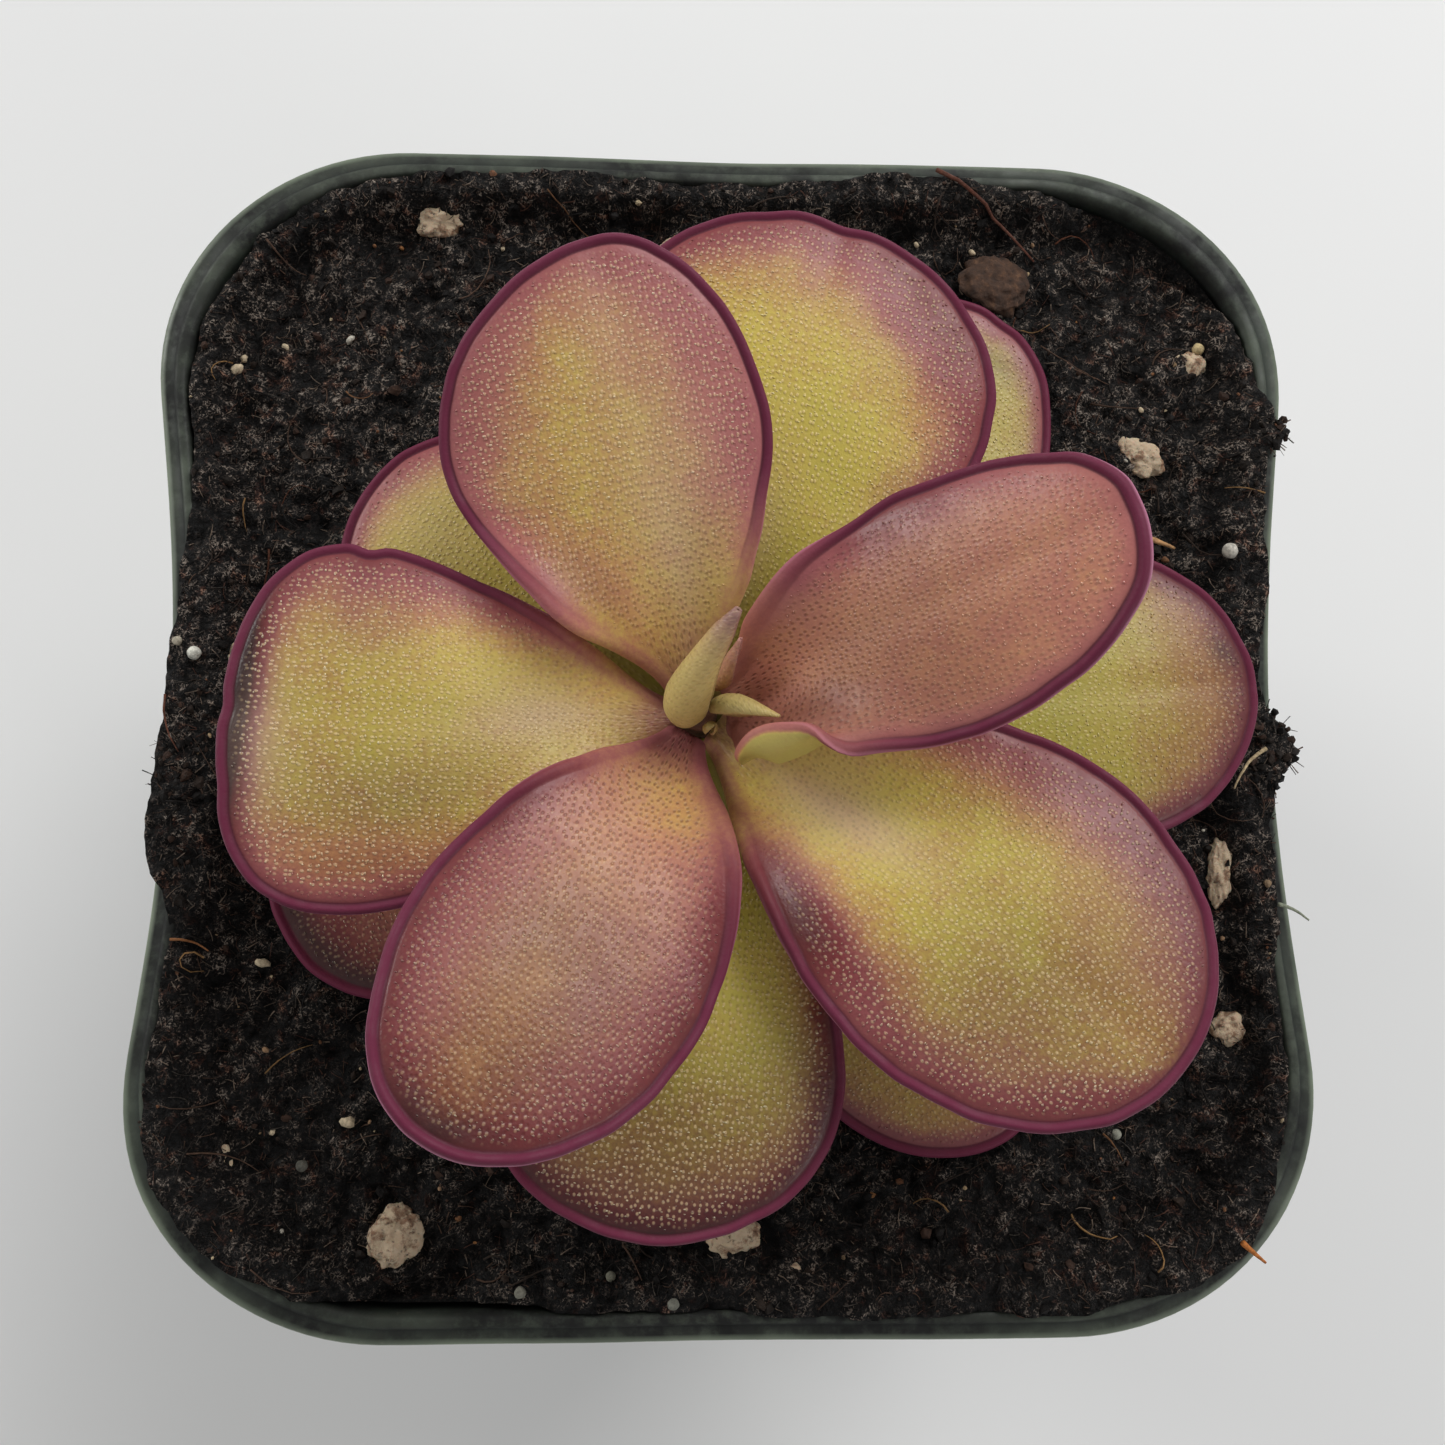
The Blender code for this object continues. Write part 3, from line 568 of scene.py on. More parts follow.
def leaf_color(look):
    """Colour of a leaf from the numbers kept at its points, with fine mottling."""
    mottle = look.less(look.noise(2.4, 4.0), 0.5)
    grain = look.less(look.noise(0.35, 3.0, 0.7), 0.5)

    def mottled(key, coarse, fine):
        return look.add(look.add(look.value(key), look.times(mottle, coarse)), look.times(grain, fine))

    green = look.ramp(mottled("ripe", 0.35, 0.3), GREENS)
    mauve = look.ramp(mottled("deep", 0.25, 0.0), MAUVES)
    color = look.mix(look.spread(mottled("flush", 0.3, 0.35), 0.0, 1.0), green, mauve)
    color = look.mix(look.value("pale"), color, PALE_PINK)
    color = look.mix(1.0, color, look.less(LEAF_LIGHT, mottled("dim", 0.0, 0.35)), "MULTIPLY")
    edging = look.times(look.spread(look.value("rim"), 0.05, 0.5), look.value("roll"))
    return look.mix(edging, color, look.ramp(look.value("rim"), MARGINS))


def leaf_look():
    look = Look("butterwort_leaf", Roughness=0.42, Coat_Roughness=0.22, Coat_IOR=1.4,
                Specular_IOR_Level=0.4)
    color = leaf_color(look)
    # Painted glints at the glands' middles, and dark dots, partly painted shadow, on one side of them
    light = look.times(look.spread(look.leaf_cells(GLAND_CELL), 0.10, 0.32, 1.0, 0.0), look.value("shine"))
    dark = look.spread(look.leaf_cells(GLAND_CELL, *GLAND_SHADE), 0.08, 0.36, 1.0, 0.0)
    dark = look.times(dark, look.value("pits"))
    color = look.mix(look.times(dark, 0.45), color, GLAND_DARK)
    color = look.mix(look.times(light, 0.46), color, GLAND_GLINT)
    rough = look.less(look.spread(look.noise(1.3), 0.35, 0.7, 0.36, 0.52), look.times(light, 0.2))
    rough = look.add(rough, look.spread(look.value("rim"), 0.1, 0.5, 0.0, 0.26))
    fine = look.bump(look.cells(0.16), 0.02, 0.5)
    rumpled = look.bump(look.noise(0.7, 3.0), 0.05, 0.5, fine)
    pitted = look.bump(look.less(light, dark), 0.04, 0.9, rumpled)
    coat = look.spread(look.value("rim"), 0.0, 0.3, 0.13, 0.0)
    return look.set(Base_Color=color, Roughness=rough, Coat_Weight=coat, Normal=pitted)


def gland_look():
    """Sticky heads: the leaf's colour, lightened towards cream by shine as a painted glint, under a wet
    gloss.
    """
    look = Look("gland_heads", Roughness=0.12, Coat_Weight=0.6, Coat_Roughness=0.05)
    color = look.mix(look.value("shine"), leaf_color(look), linear(240, 226, 186))
    return look.set(Base_Color=color)


# The leaf's sheet, as in the solids

def half_width(x, leaf):
    """Half width of the blade at a distance along it, for a leaf that is even on both sides."""
    share = np.clip(x / leaf["length"], 0.0, 1.0)
    widest = leaf["widest"]
    neck, full = LEAF_NECK / 2, leaf["width"] / 2
    growth = np.sin(math.pi / 2 * np.clip(share / widest, 0.0, 1.0)) ** LEAF_SHOULDER
    blunt = leaf.get("blunt", 2.05)
    past = np.clip((share - widest) / (1.0 - widest), 0.0, 1.0)
    rounded = full * np.clip(1.0 - past ** blunt, 0.0, 1.0) ** (1.0 / blunt)
    return np.where(share < widest, neck + (full - neck) * growth, rounded)


def leaf_outline(leaf, order):
    """The edge from the left of the neck round the tip to the right, in even steps, slightly wavy."""
    angle = np.linspace(0.0, math.pi / 2, EDGE_SAMPLES)
    x = leaf["length"] * np.sin(angle)
    y = half_width(x, leaf)
    y[-1] = 0.0
    run = np.r_[0.0, np.cumsum(np.hypot(np.diff(x), np.diff(y)))]
    stops = np.linspace(0.0, run[-1], EDGE_STEPS + 1)
    px, py = np.interp(stops, run, x), np.interp(stops, run, y)
    lean = leaf.get("lean", 0.0)
    x, y = np.r_[px, px[-2::-1]], np.r_[py * (1 + lean), -py[-2::-1] * (1 - lean)]
    y = y - (y < 0) * leaf.get("flare", 0.0) * np.exp(-((x / leaf["length"] - 0.12) / 0.13) ** 2)
    inx, iny = inward(x, y)
    place = np.linspace(0.0, 1.0, len(x))
    away = smoothstep(place / 0.1) * smoothstep((1.0 - place) / 0.1)
    at = np.c_[x, y, 0.0 * x + 10.0 * order]
    wave = 0.16 * noise(at, 4.0, 300) + 0.07 * noise(at, 1.5, 301)
    for middle, wide, deep in leaf.get("notches", []):
        wave = wave + deep * np.exp(-((place - middle) / wide) ** 2)
    return x + inx * wave * away, y + iny * wave * away


def inward(x, y):
    """Unit direction from each point of the edge into the blade."""
    dx, dy = np.gradient(x), np.gradient(y)
    size = np.hypot(dx, dy)
    inx, iny = dy / size, -dx / size
    inx[0] = inx[-1] = 0.0
    iny[0], iny[-1] = -1.0, 1.0
    return inx, iny


# Near the stem the sheet narrows to its neck and is drawn back
NECK_FADE = 3.2
NECK_NARROW = 0.42
SPINE_STEPS = 60


class LeafSheet:
    """Bends flat leaf coordinates (along, across, off the sheet) into the leaf's place."""

    def __init__(self, leaf, order):
        self.leaf = leaf
        self.order = order
        length = leaf["length"]
        self.run = np.linspace(0.0, length * 1.05, SPINE_STEPS)
        share = self.run / length
        rise, tip = math.radians(leaf["rise"]), math.radians(leaf["tip"])
        slope = rise + (tip - rise) * smoothstep(share)
        turn = math.radians(leaf.get("sweep", 0.0)) * share
        along = np.c_[np.cos(slope) * np.cos(turn), np.cos(slope) * np.sin(turn), np.sin(slope)]
        across = np.c_[-np.sin(turn), np.cos(turn), 0.0 * turn]
        above = np.cross(along, across)
        step = self.run[1] - self.run[0]
        self.spine = np.zeros((SPINE_STEPS, 3))
        self.spine[1:] = np.cumsum((along[1:] + along[:-1]) / 2 * step, axis=0)
        roll = (math.radians(leaf.get("roll", 0.0)) * smoothstep(share * 1.5))[:, None]
        self.across = across * np.cos(roll) + above * np.sin(roll)
        self.above = above * np.cos(roll) - across * np.sin(roll)
        self.first = along[0]
        self.outline = leaf_outline(leaf, order)

    def base(self):
        """The leaf springs from the side of the stem, clear of it by the gap."""
        azimuth = math.radians(self.leaf["azimuth"])
        reach = CROWN_RADIUS + 1.3 * GAP + LEAF_THICK / 2 * math.sin(math.radians(self.leaf["rise"]))
        height = LEAF_TOP - LEAF_STEP * self.order - self.leaf.get("drop", 0.0)
        return np.array((CROWN_X + reach * math.cos(azimuth), CROWN_Y + reach * math.sin(azimuth), height))

    def read(self, table, x):
        return np.stack([np.interp(x, self.run, table[:, k]) for k in range(3)], axis=-1)

    def inset(self, x, y):
        """Distance from the edge."""
        ex, ey = self.outline
        return np.sqrt(((x[:, None] - ex) ** 2 + (y[:, None] - ey) ** 2).min(1))

    def relief(self, x, y):
        """Gentle waves of the blade, which grow towards its edge, and a crease along its middle."""
        at = np.c_[x, y, 0.0 * x + 20.0 * self.order]
        side = np.clip(np.abs(y) / (self.leaf["width"] / 2), 0.0, 1.0)
        out = smoothstep((x / self.leaf["length"] - 0.15) / 0.4)
        crease = -0.10 * np.exp(-(y / 0.9) ** 2) * out
        return out * (0.10 + 0.22 * side ** 2) * layered(at, 7.0, 320, 2) + crease

    def curled(self, y, bend, narrow, share):
        """Distance across, height and slope where the blade curls up past a line on one side."""
        curl = self.leaf["curl"]
        side, limit = curl["side"], curl["start"] * narrow
        flat = np.where(side * y > limit, side * limit, y)
        past = np.abs(y - flat)
        turn = np.arctan(2 * bend * flat)
        held = np.maximum(smoothstep((curl["until"] - share) / curl["fade"]), 0.02)
        radius = curl["radius"] / held
        angle = np.minimum(past / radius, curl["most"])
        rest = past - angle * radius
        out = side * (radius * np.sin(angle) + rest * np.cos(angle))
        lift = radius * (1.0 - np.cos(angle)) + rest * np.sin(angle)
        shift = flat + out * np.cos(turn) - lift * np.sin(turn)
        camber = bend * flat ** 2 + out * np.sin(turn) + lift * np.cos(turn)
        return shift, camber, turn + side * angle

    def place(self, x, y, off):
        near = 1.0 - smoothstep(x / NECK_FADE)
        narrow = 1.0 - NECK_NARROW * near
        x, y = x - NECK_REACH * near, y * narrow
        share = np.maximum(x, 0.0) / self.leaf["length"]
        groove = self.leaf.get("channel", LEAF_CHANNEL) * (1.0 - smoothstep(share / 0.45))
        dome = LEAF_DOME * smoothstep((share - 0.15) / 0.5) / (self.leaf["width"] / 2) ** 2
        bend = groove - dome
        if "curl" in self.leaf:
            shift, camber, turn = self.curled(y, bend, narrow, share)
        else:
            shift, camber, turn = y, bend * y ** 2, np.arctan(2 * bend * y)
        across, above = self.read(self.across, x), self.read(self.above, x)
        normal = above * np.cos(turn)[..., None] - across * np.sin(turn)[..., None]
        point = self.read(self.spine, x) + across * shift[..., None] + above * camber[..., None]
        point += normal * (off + 0.0 * y)[..., None] + np.minimum(x, 0.0)[..., None] * self.first
        return turned(point, self.leaf["azimuth"]) + self.base()


# Rolled margin: inset from the edge, height of a plain rounded edge there, what the roll adds, and
# its colour, from 0 the blade's own over 0.45 the dark line, painted shade in the groove, and 0.75
# the roll to 1 the pale edge, partly a painted highlight
MARGIN = [
    (0.92, 0.43, -0.01, 0.0),
    (0.80, 0.42, -0.05, 0.12),
    (0.71, 0.41, -0.08, 0.40),
    (0.64, 0.40, -0.05, 0.50),
    (0.57, 0.38, 0.03, 0.60),
    (0.48, 0.36, 0.13, 0.72),
    (0.38, 0.33, 0.20, 0.76),
    (0.29, 0.29, 0.23, 0.78),
    (0.20, 0.24, 0.22, 0.80),
    (0.12, 0.17, 0.18, 0.84),
    (0.06, 0.10, 0.12, 0.92),
    (0.02, 0.02, 0.06, 1.00),
    (0.00, -0.06, 0.00, 1.00),
    (0.06, -0.18, -0.02, 0.8),
    (0.22, -0.30, 0.00, 0.5),
    (0.50, -0.40, 0.00, 0.0),
]
BLADE_INSET = 1.12

# The numbers kept at each point of a leaf: looks as in LEAVES, the strength of the dark dots, partly
# painted shadows beside the glands, and of the painted glints on them, rim and roll for the margin,
# and the place in flat millimetres
LEAF_KEYS = ("ripe", "flush", "deep", "dim", "pale", "pits", "shine", "rim", "roll", "along", "aside")

# Painted shade and mauve next to the stem, where the leaf bases meet, deeper on the leaves that lie
# under others: for the upper leaves and for those under them, how dark, from which share of the
# length, over how much of it, and how mauve
UPPER_LEAVES = 5
UPPER_BASE = (0.3, 0.0, 0.13, 0.4)
LOWER_BASE = (0.62, 0.1, 0.34, 0.3)


def leaf_values(leaf, x, y, inset):
    """What the leaf's colour is worked out from, at places on its upper face."""
    share = np.clip(x / leaf["length"], 0.0, 1.0)
    side = y / np.maximum(half_width(np.clip(x, 0, leaf["length"] * 0.97), leaf), 1.0)
    found = {key: np.interp(share, (0.0, 0.55, 1.0), leaf[key]) for key in ("ripe", "flush", "dim")}
    left = smoothstep(0.5 + 1.2 * side)
    border = leaf["border"][0] * left + leaf["border"][1] * (1.0 - left)
    border = border * (0.08 + 0.92 * smoothstep((share - 0.08) / 0.4))
    edge = np.exp(-(np.maximum(inset - 0.7, 0.0) / (0.62 * border + 0.05)) ** 1.5)
    edge = edge * (0.15 + 0.85 * smoothstep(share / 0.4))
    found["flush"] = found["flush"] + (1.1 - found["flush"]) * edge
    found["deep"] = leaf["deep"] * (0.45 + 0.55 * edge) + 0.15 * edge
    # Painted shade near the stem
    dark, start, reach, mauve = UPPER_BASE if LEAVES.index(leaf) < UPPER_LEAVES else LOWER_BASE
    found["dim"] = found["dim"] + dark * (1.0 - smoothstep((share - start) / reach))
    found["flush"] = found["flush"] + mauve * (1.0 - smoothstep(share / 0.13))
    streaks = 0.5 + 0.5 * np.cos(side * 9.0 + 1.2 * np.sin(share * 9.0))
    rib = np.exp(-(side / 0.22) ** 2) * np.exp(-((share - 0.28) / 0.2) ** 2)
    found["pale"] = leaf.get("rib", 0.3) * rib * (0.4 + 0.6 * streaks)
    for along, across, wide, broad, what, amount in leaf["spots"]:
        there = np.exp(-((share - along) / wide) ** 2 - ((side - across) / broad) ** 2)
        found[what] = found[what] + amount * there
    clear = smoothstep((inset - 0.9) / 0.8)
    # dots sets the dark dots, partly painted shadows beside the glands; shine sets the painted glints
    dots = leaf.get("dots", 0.5) * (0.6 + 0.4 * (1.0 - smoothstep((share - 0.15) / 0.6)))
    shine = leaf.get("shine", 0.5) * (0.35 + 0.65 * smoothstep((share - 0.05) / 0.5))
    found.update(pits=dots * clear, shine=shine * clear, rim=0.0 * y, roll=1.0 + 0.0 * y, along=x, aside=y)
    return found


def leaf_rings(leaf, sheet):
    """Rings of a leaf from its midline over the top, round the margin and back under: flat places,
    heights off the sheet, and top, under or the place on the margin's colours."""
    x, y = sheet.outline
    broad = leaf["widest"] * leaf["length"]
    mid = np.where(x < broad, x, broad + (x - broad) * 0.45)
    inx, iny = inward(x, y)
    reach = np.hypot(x - mid, y)

    def inner(inset):
        room = np.minimum(inset, (0.35 + 0.45 * min(inset, 1.0)) * reach)
        return x + inx * room, y + iny * room

    bx, by = inner(BLADE_INSET)
    rings = []
    for s in [(k / BLADE_RINGS) ** 0.9 for k in range(BLADE_RINGS)]:
        rings.append((mid + (bx - mid) * s, by * s, BLADE_HALF * (0.78 + 0.22 * (1.0 - s ** 3)), "top"))
    rolled = smoothstep((x / leaf["length"] - 0.06) / 0.3)
    for inset, off, roll, rim in MARGIN:
        rings.append((*inner(inset), off + roll * rolled, rim if off > -0.35 else "under"))
    for s in [1.0 - (k + 1) / UNDER_RINGS for k in range(UNDER_RINGS)]:
        rings.append((mid + (bx - mid) * s, by * s, -BLADE_HALF * (0.8 + 0.2 * (1.0 - s)), "under"))
    return rings


def leaf_faces(count, tops):
    """Faces between the rings, whose first and last close along the midline, and the neck's end."""
    index = np.arange(count * tops).reshape(tops, count)
    seam = count // 2
    for ring in (0, tops - 1):
        index[ring, seam + 1:] = index[ring, :seam][::-1]
    faces = []
    for i, j in itertools.product(range(tops - 1), range(count - 1)):
        face = [int(v) for v in (index[i, j], index[i, j + 1], index[i + 1, j + 1], index[i + 1, j])]
        kept = [v for k, v in enumerate(face) if v != face[k - 1]]
        if len(set(kept)) > 2:
            faces.append(kept)
    return faces + [index[:, 0].tolist() + index[tops - 2:0:-1, count - 1].tolist()]


def make_leaf(order, leaf, look):
    sheet = LeafSheet(leaf, order)
    points, values = [], {key: [] for key in LEAF_KEYS}
    rings = leaf_rings(leaf, sheet)
    for x, y, off, kind in rings:
        points.append(sheet.place(x, y, off + sheet.relief(x, y)))
        here = leaf_values(leaf, x, y, sheet.inset(x, y))
        share = x / leaf["length"]
        if kind == "under":
            green = smoothstep((share - 0.2) / 0.6)
            under = dict(ripe=0.12 + 0.3 * green, flush=0.05 + 0.55 * green, deep=0.1, dim=-0.1, pale=0.15,
                         pits=0.0, shine=0.0)
            here.update({key: value + 0 * x for key, value in under.items()})
        elif kind != "top":
            here["rim"] = kind + 0 * x
        here["roll"] = smoothstep((share - 0.12) / 0.33)
        for key in values:
            values[key].append(here[key])
    points, faces, kept = drop_unused(np.vstack(points), leaf_faces(len(x), len(rings)))
    values = {key: np.concatenate(rows)[kept] for key, rows in values.items()}
    name = "leaf_%02d" % (order + 1)
    piece = mesh_piece(name + "_blade", points, faces, look, "leaf", values)
    face_outward(piece)
    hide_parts(name)
    return sheet


def drop_unused(points, faces):
    """Leaves out points that no face uses, and says which were kept."""
    used = np.zeros(len(points), bool)
    for face in faces:
        used[face] = True
    fresh = np.cumsum(used) - 1
    return points[used], [[int(fresh[i]) for i in face] for face in faces], used


# Gland heads, in rows over each leaf: how far apart they stand and stray, how far from the leaf's
# edge they begin and how large they are. None is made deeper than COVER_MARGIN under another leaf
GLAND_SPACING = 0.46
GLAND_STRAY = 0.11
GLAND_MARGIN = 1.0
GLAND_SIZE = 0.048
COVER_MARGIN = 2.6


def within(px, py, x, y):
    """Which places lie inside a closed outline."""
    inside = np.zeros(len(x), bool)
    for ax, ay, bx, by in zip(px, py, np.roll(px, -1), np.roll(py, -1)):
        crosses = (ay > y) != (by > y)
        span = (by - ay) if abs(by - ay) > 1e-9 else 1e-9
        inside ^= crosses & (x < ax + (bx - ax) * (y - ay) / span)
    return inside


def hidden(place, above):
    """Places well inside the outline of a leaf that lies over this one."""
    covered = np.zeros(len(place), bool)
    for sheet in above:
        x, y = sheet.outline
        edge = sheet.place(x, y, 0.0)
        far = np.sqrt(((place[:, None, :2] - edge[None, ::3, :2]) ** 2).sum(-1).min(1)) > COVER_MARGIN
        covered |= within(edge[:, 0], edge[:, 1], place[:, 0], place[:, 1]) & far
    return covered


def gland_rows(rng, leaf):
    """Flat places in loose rows over a leaf."""
    length, wide = leaf["length"], leaf["width"] * 0.7
    gx = np.arange(1.5, length, GLAND_SPACING)
    gy = np.arange(-wide, wide, GLAND_SPACING * 0.87)
    x, y = np.meshgrid(gx, gy)
    x = x + (np.arange(len(gy)) % 2)[:, None] * GLAND_SPACING / 2
    x = (x + rng.normal(0, GLAND_STRAY, x.shape)).ravel()
    y = (y + rng.normal(0, GLAND_STRAY, y.shape)).ravel()
    lean = 1.0 + np.sign(y) * leaf.get("lean", 0.0)
    inside = (x < length * 0.985) & (np.abs(y) < half_width(x, leaf) * lean)
    return x[inside], y[inside]


def make_glands(order, leaf, sheet, above, look):
    """Sticky glands over the upper face of a leaf, where it isn't hidden by those above."""
    rng = np.random.default_rng(500 + order)
    x, y = gland_rows(rng, leaf)
    inset = sheet.inset(x, y)
    kept = inset > GLAND_MARGIN
    x, y, inset = x[kept], y[kept], inset[kept]
    off = BLADE_HALF * (0.80 + 0.18 * smoothstep(inset / 5.0)) + sheet.relief(x, y) - 0.02
    place = sheet.place(x, y, off)
    seen = ~hidden(place, above)
    x, y, inset, off, place = x[seen], y[seen], inset[seen], off[seen], place[seen]
    normal = sheet.place(x, y, off + 0.2) - place
    normal /= np.linalg.norm(normal, axis=1)[:, None]
    across = sheet.place(x, y + 0.1, off) - place
    across -= normal * (across * normal).sum(1)[:, None]
    across /= np.linalg.norm(across, axis=1)[:, None]
    along = np.cross(across, normal)
    at = np.c_[x, y, 0.0 * x + 7.0 * order]
    size = (GLAND_SIZE + 0.010 * noise(at, 3.0, 340)) * rng.uniform(0.7, 1.3, len(x))
    size = size * (0.85 + 0.3 * smoothstep((x / leaf["length"] - 0.15) / 0.5))
    shape, shape_faces = ball(1)
    shape = shape * (1.0, 1.0, 0.8) + (0.0, 0.0, 0.35)
    lean_x, lean_y = rng.normal(0, 0.15, (2, len(x)))
    local = shape[None] * size[:, None, None]
    local[..., 1] *= rng.uniform(1.1, 1.9, len(x))[:, None]
    local[..., 0] += lean_x[:, None] * local[..., 2]
    local[..., 1] += lean_y[:, None] * local[..., 2]
    points = (place[:, None] + local[..., :1] * along[:, None] + local[..., 1:2] * across[:, None]
              + local[..., 2:] * normal[:, None]).reshape(-1, 3)
    count = len(shape)
    faces = [tuple(i + k * count for i in face) for k in range(len(x)) for face in shape_faces]
    values = leaf_values(leaf, x, y, inset)
    # Each gland head gets its own share of the painted glint
    values["shine"] = values["shine"] * rng.uniform(0.05, 0.6, len(x))
    values = {key: np.repeat(data, count) for key, data in values.items()}
    mesh_piece("leaf_%02d_glands" % (order + 1), points, faces, look, "leaf", values)


# Pot

# Signs of the corners of a square, anticlockwise from +X +Y
CORNERS = ((1, 1), (-1, 1), (-1, -1), (1, -1))
DRAIN_STEPS = 40


def corner_radius(half):
    """The corners get tighter where the pot is narrower."""
    return RIM_CORNER * half / RIM_HALF


def pinch_at(height):
    """How far the two X sides bow inward, which grows towards the rim."""
    return PINCH * max(0.0, height / RIM_HEIGHT) ** 2


def bowed(y, half):
    """How much of the pinch a place on an X side has: all of it at the middle, none at the corners."""
    return np.cos(math.pi / 2 * np.minimum(np.abs(y) / half, 1.0)) ** 2


def square_ring(half, height, inset=0.0):
    """Rounded square of the given half width, shrunk by inset with its corners kept parallel."""
    side = half - inset
    radius = max(corner_radius(half) - inset, 0.5)
    flat = side - radius

    def corner_point(corner, angle):
        return (flat * corner[0] + radius * math.cos(angle), flat * corner[1] + radius * math.sin(angle))

    outline = []
    for quarter, corner in enumerate(CORNERS):
        turn, after = quarter * math.pi / 2, (quarter + 1) * math.pi / 2
        outline += [corner_point(corner, turn + (after - turn) * step / CORNER_STEPS)
                    for step in range(CORNER_STEPS + 1)]
        (x0, y0), (x1, y1) = outline[-1], corner_point(CORNERS[(quarter + 1) % 4], after)
        shares = [step / SIDE_STEPS for step in range(1, SIDE_STEPS)]
        outline += [(x0 + (x1 - x0) * share, y0 + (y1 - y0) * share) for share in shares]
    x, y = np.array(outline).T
    pull = pinch_at(height) * bowed(y, side) * x / side
    return np.c_[x - pull, y, np.full(len(x), height)]


def wall_half(height):
    """Half width of the tapering wall's outer face."""
    top = RIM_HALF - LIP_WIDE - COLLAR_STEP - 0.6
    return FOOT_HALF + (top - FOOT_HALF) * height / COLLAR_BOTTOM


def inner_half(height):
    """Half width of the pot's inner face, with the step behind the stacking collar."""
    if height <= COLLAR_BOTTOM:
        return wall_half(height) - WALL
    share = (height - COLLAR_BOTTOM - 1.0) / (RIM_HEIGHT - COLLAR_BOTTOM - 1.0)
    high = RIM_HALF - RIM_WIDE
    return high - 0.9 * (1.0 - max(share, 0.0))


def pot_look():
    look = Look("pot_plastic", Coat_Roughness=0.3, Specular_IOR_Level=0.45)
    worn = look.spread(look.noise(5.0, 6.0, 0.65), 0.42, 0.72)
    color = look.mix(worn, linear(30, 41, 34), linear(50, 64, 54))
    dust = look.spread(look.noise(0.6, 4.0, 0.7), 0.5, 0.75)
    dust = look.times(dust, look.spread(look.noise(9.0), 0.4, 0.7))
    color = look.mix(dust, color, linear(120, 122, 104))
    # The pale edge: a painted sheen on the lip, broken up like wear
    color = look.mix(look.times(look.value("edge"), 0.9), color, linear(150, 162, 138))
    # Near-black on the rim top and the inner wall: soil dust, and painted shade on the inner wall
    dirt = look.times(look.value("dirt"), look.spread(look.noise(1.2, 5.0, 0.7), 0.3, 0.6, 0.75, 1.0))
    color = look.mix(dirt, color, linear(7, 8, 6))
    rough = look.add(look.spread(look.noise(2.0, 5.0), 0.3, 0.7, 0.28, 0.5), look.times(dirt, 0.35))
    wavy = look.bump(look.noise(4.0, 2.0), 0.15, 0.35)
    scuffed = look.bump(look.noise(0.25, 4.0, 0.7), 0.02, 0.5, wavy)
    coat = look.times(look.less(1.0, dirt), 0.15)
    return look.set(Base_Color=color, Roughness=rough, Normal=scuffed, Coat_Weight=coat)


def pot_profile():
    """(half width, height, share of the pale edge, partly wear and partly painted sheen on the lip) from
    the foot up the outside and down the inside.
    """
    rim, collar, outer = RIM_HEIGHT, COLLAR_BOTTOM, RIM_HALF
    ring, lip, ridge = FOOT_HALF - FOOT_RING, RIM_HALF - LIP_WIDE, RIM_HALF - RIDGE_INSET
    out = [(ring, FLOOR_BOTTOM, 0), (ring, 0.15, 0), (ring + 0.15, 0.0, 0),
           (FOOT_HALF - 0.4, 0.0, 0.2), (FOOT_HALF - 0.12, 0.12, 0.2), (FOOT_HALF, 0.5, 0.1)]
    out += [(wall_half(h), h, 0) for h in np.linspace(4.0, collar - 1.3, 16)]
    out += [(wall_half(collar - 1.0), collar - 1.0, 0), (lip - 0.75, collar - 0.1, 0.1),
            (lip - 0.6, collar + 0.2, 0.35)]
    out += [(lip - 0.6 + 0.6 * s, collar + 0.2 + (rim - 1.9 - collar - 0.2) * s, 0)
            for s in np.linspace(0.12, 1.0, 7)]
    out += [
        (outer - 0.55, rim - 1.62, 0.1),
        (outer - 0.12, rim - 1.42, 0.45),
        (outer, rim - 1.15, 0.75),
        (outer, rim - 0.75, 0.8),
        (outer - 0.10, rim - 0.52, 0.7),
        (outer - 0.45, rim - 0.42, 0.55),
        (ridge + 0.22, rim - 0.40, 0.15),
        (ridge + 0.12, rim - 0.22, 0.1),
        (ridge, rim - 0.05, 0.5),
        (ridge - 0.12, rim, 0.6),
        (outer - RIM_WIDE + 0.3, rim, 0.55),
        (outer - RIM_WIDE + 0.12, rim - 0.08, 0.4),
        (inner_half(rim - 0.6), rim - 0.6, 0.1),
    ]
    out += [(inner_half(h), h, 0) for h in (rim - 3.0, rim - 6.0, collar + 1.0)]
    out += [(inner_half(collar), collar - 0.2, 0)]
    out += [(inner_half(h), h, 0) for h in (40.0, 20.0, FLOOR_TOP + 1.0)]
    return out + [(inner_half(FLOOR_TOP) - 0.8, FLOOR_TOP, 0)]


def drain_holes():
    """A closed tube through the floor for each drain hole: one in the middle and four round it."""
    turns = np.array([2 * math.pi * k / DRAIN_STEPS for k in range(DRAIN_STEPS)])
    middles = [(0, 0)] + [(sx * DRAIN_REACH, sy * DRAIN_REACH) for sx in (1, -1) for sy in (1, -1)]
    for x, y in middles:
        across, along = x + DRAIN_RADIUS * np.cos(turns), y + DRAIN_RADIUS * np.sin(turns)
        yield loft([np.c_[across, along, np.full(DRAIN_STEPS, height)]
                    for height in (FLOOR_BOTTOM - 1.0, FLOOR_TOP + 1.0)])


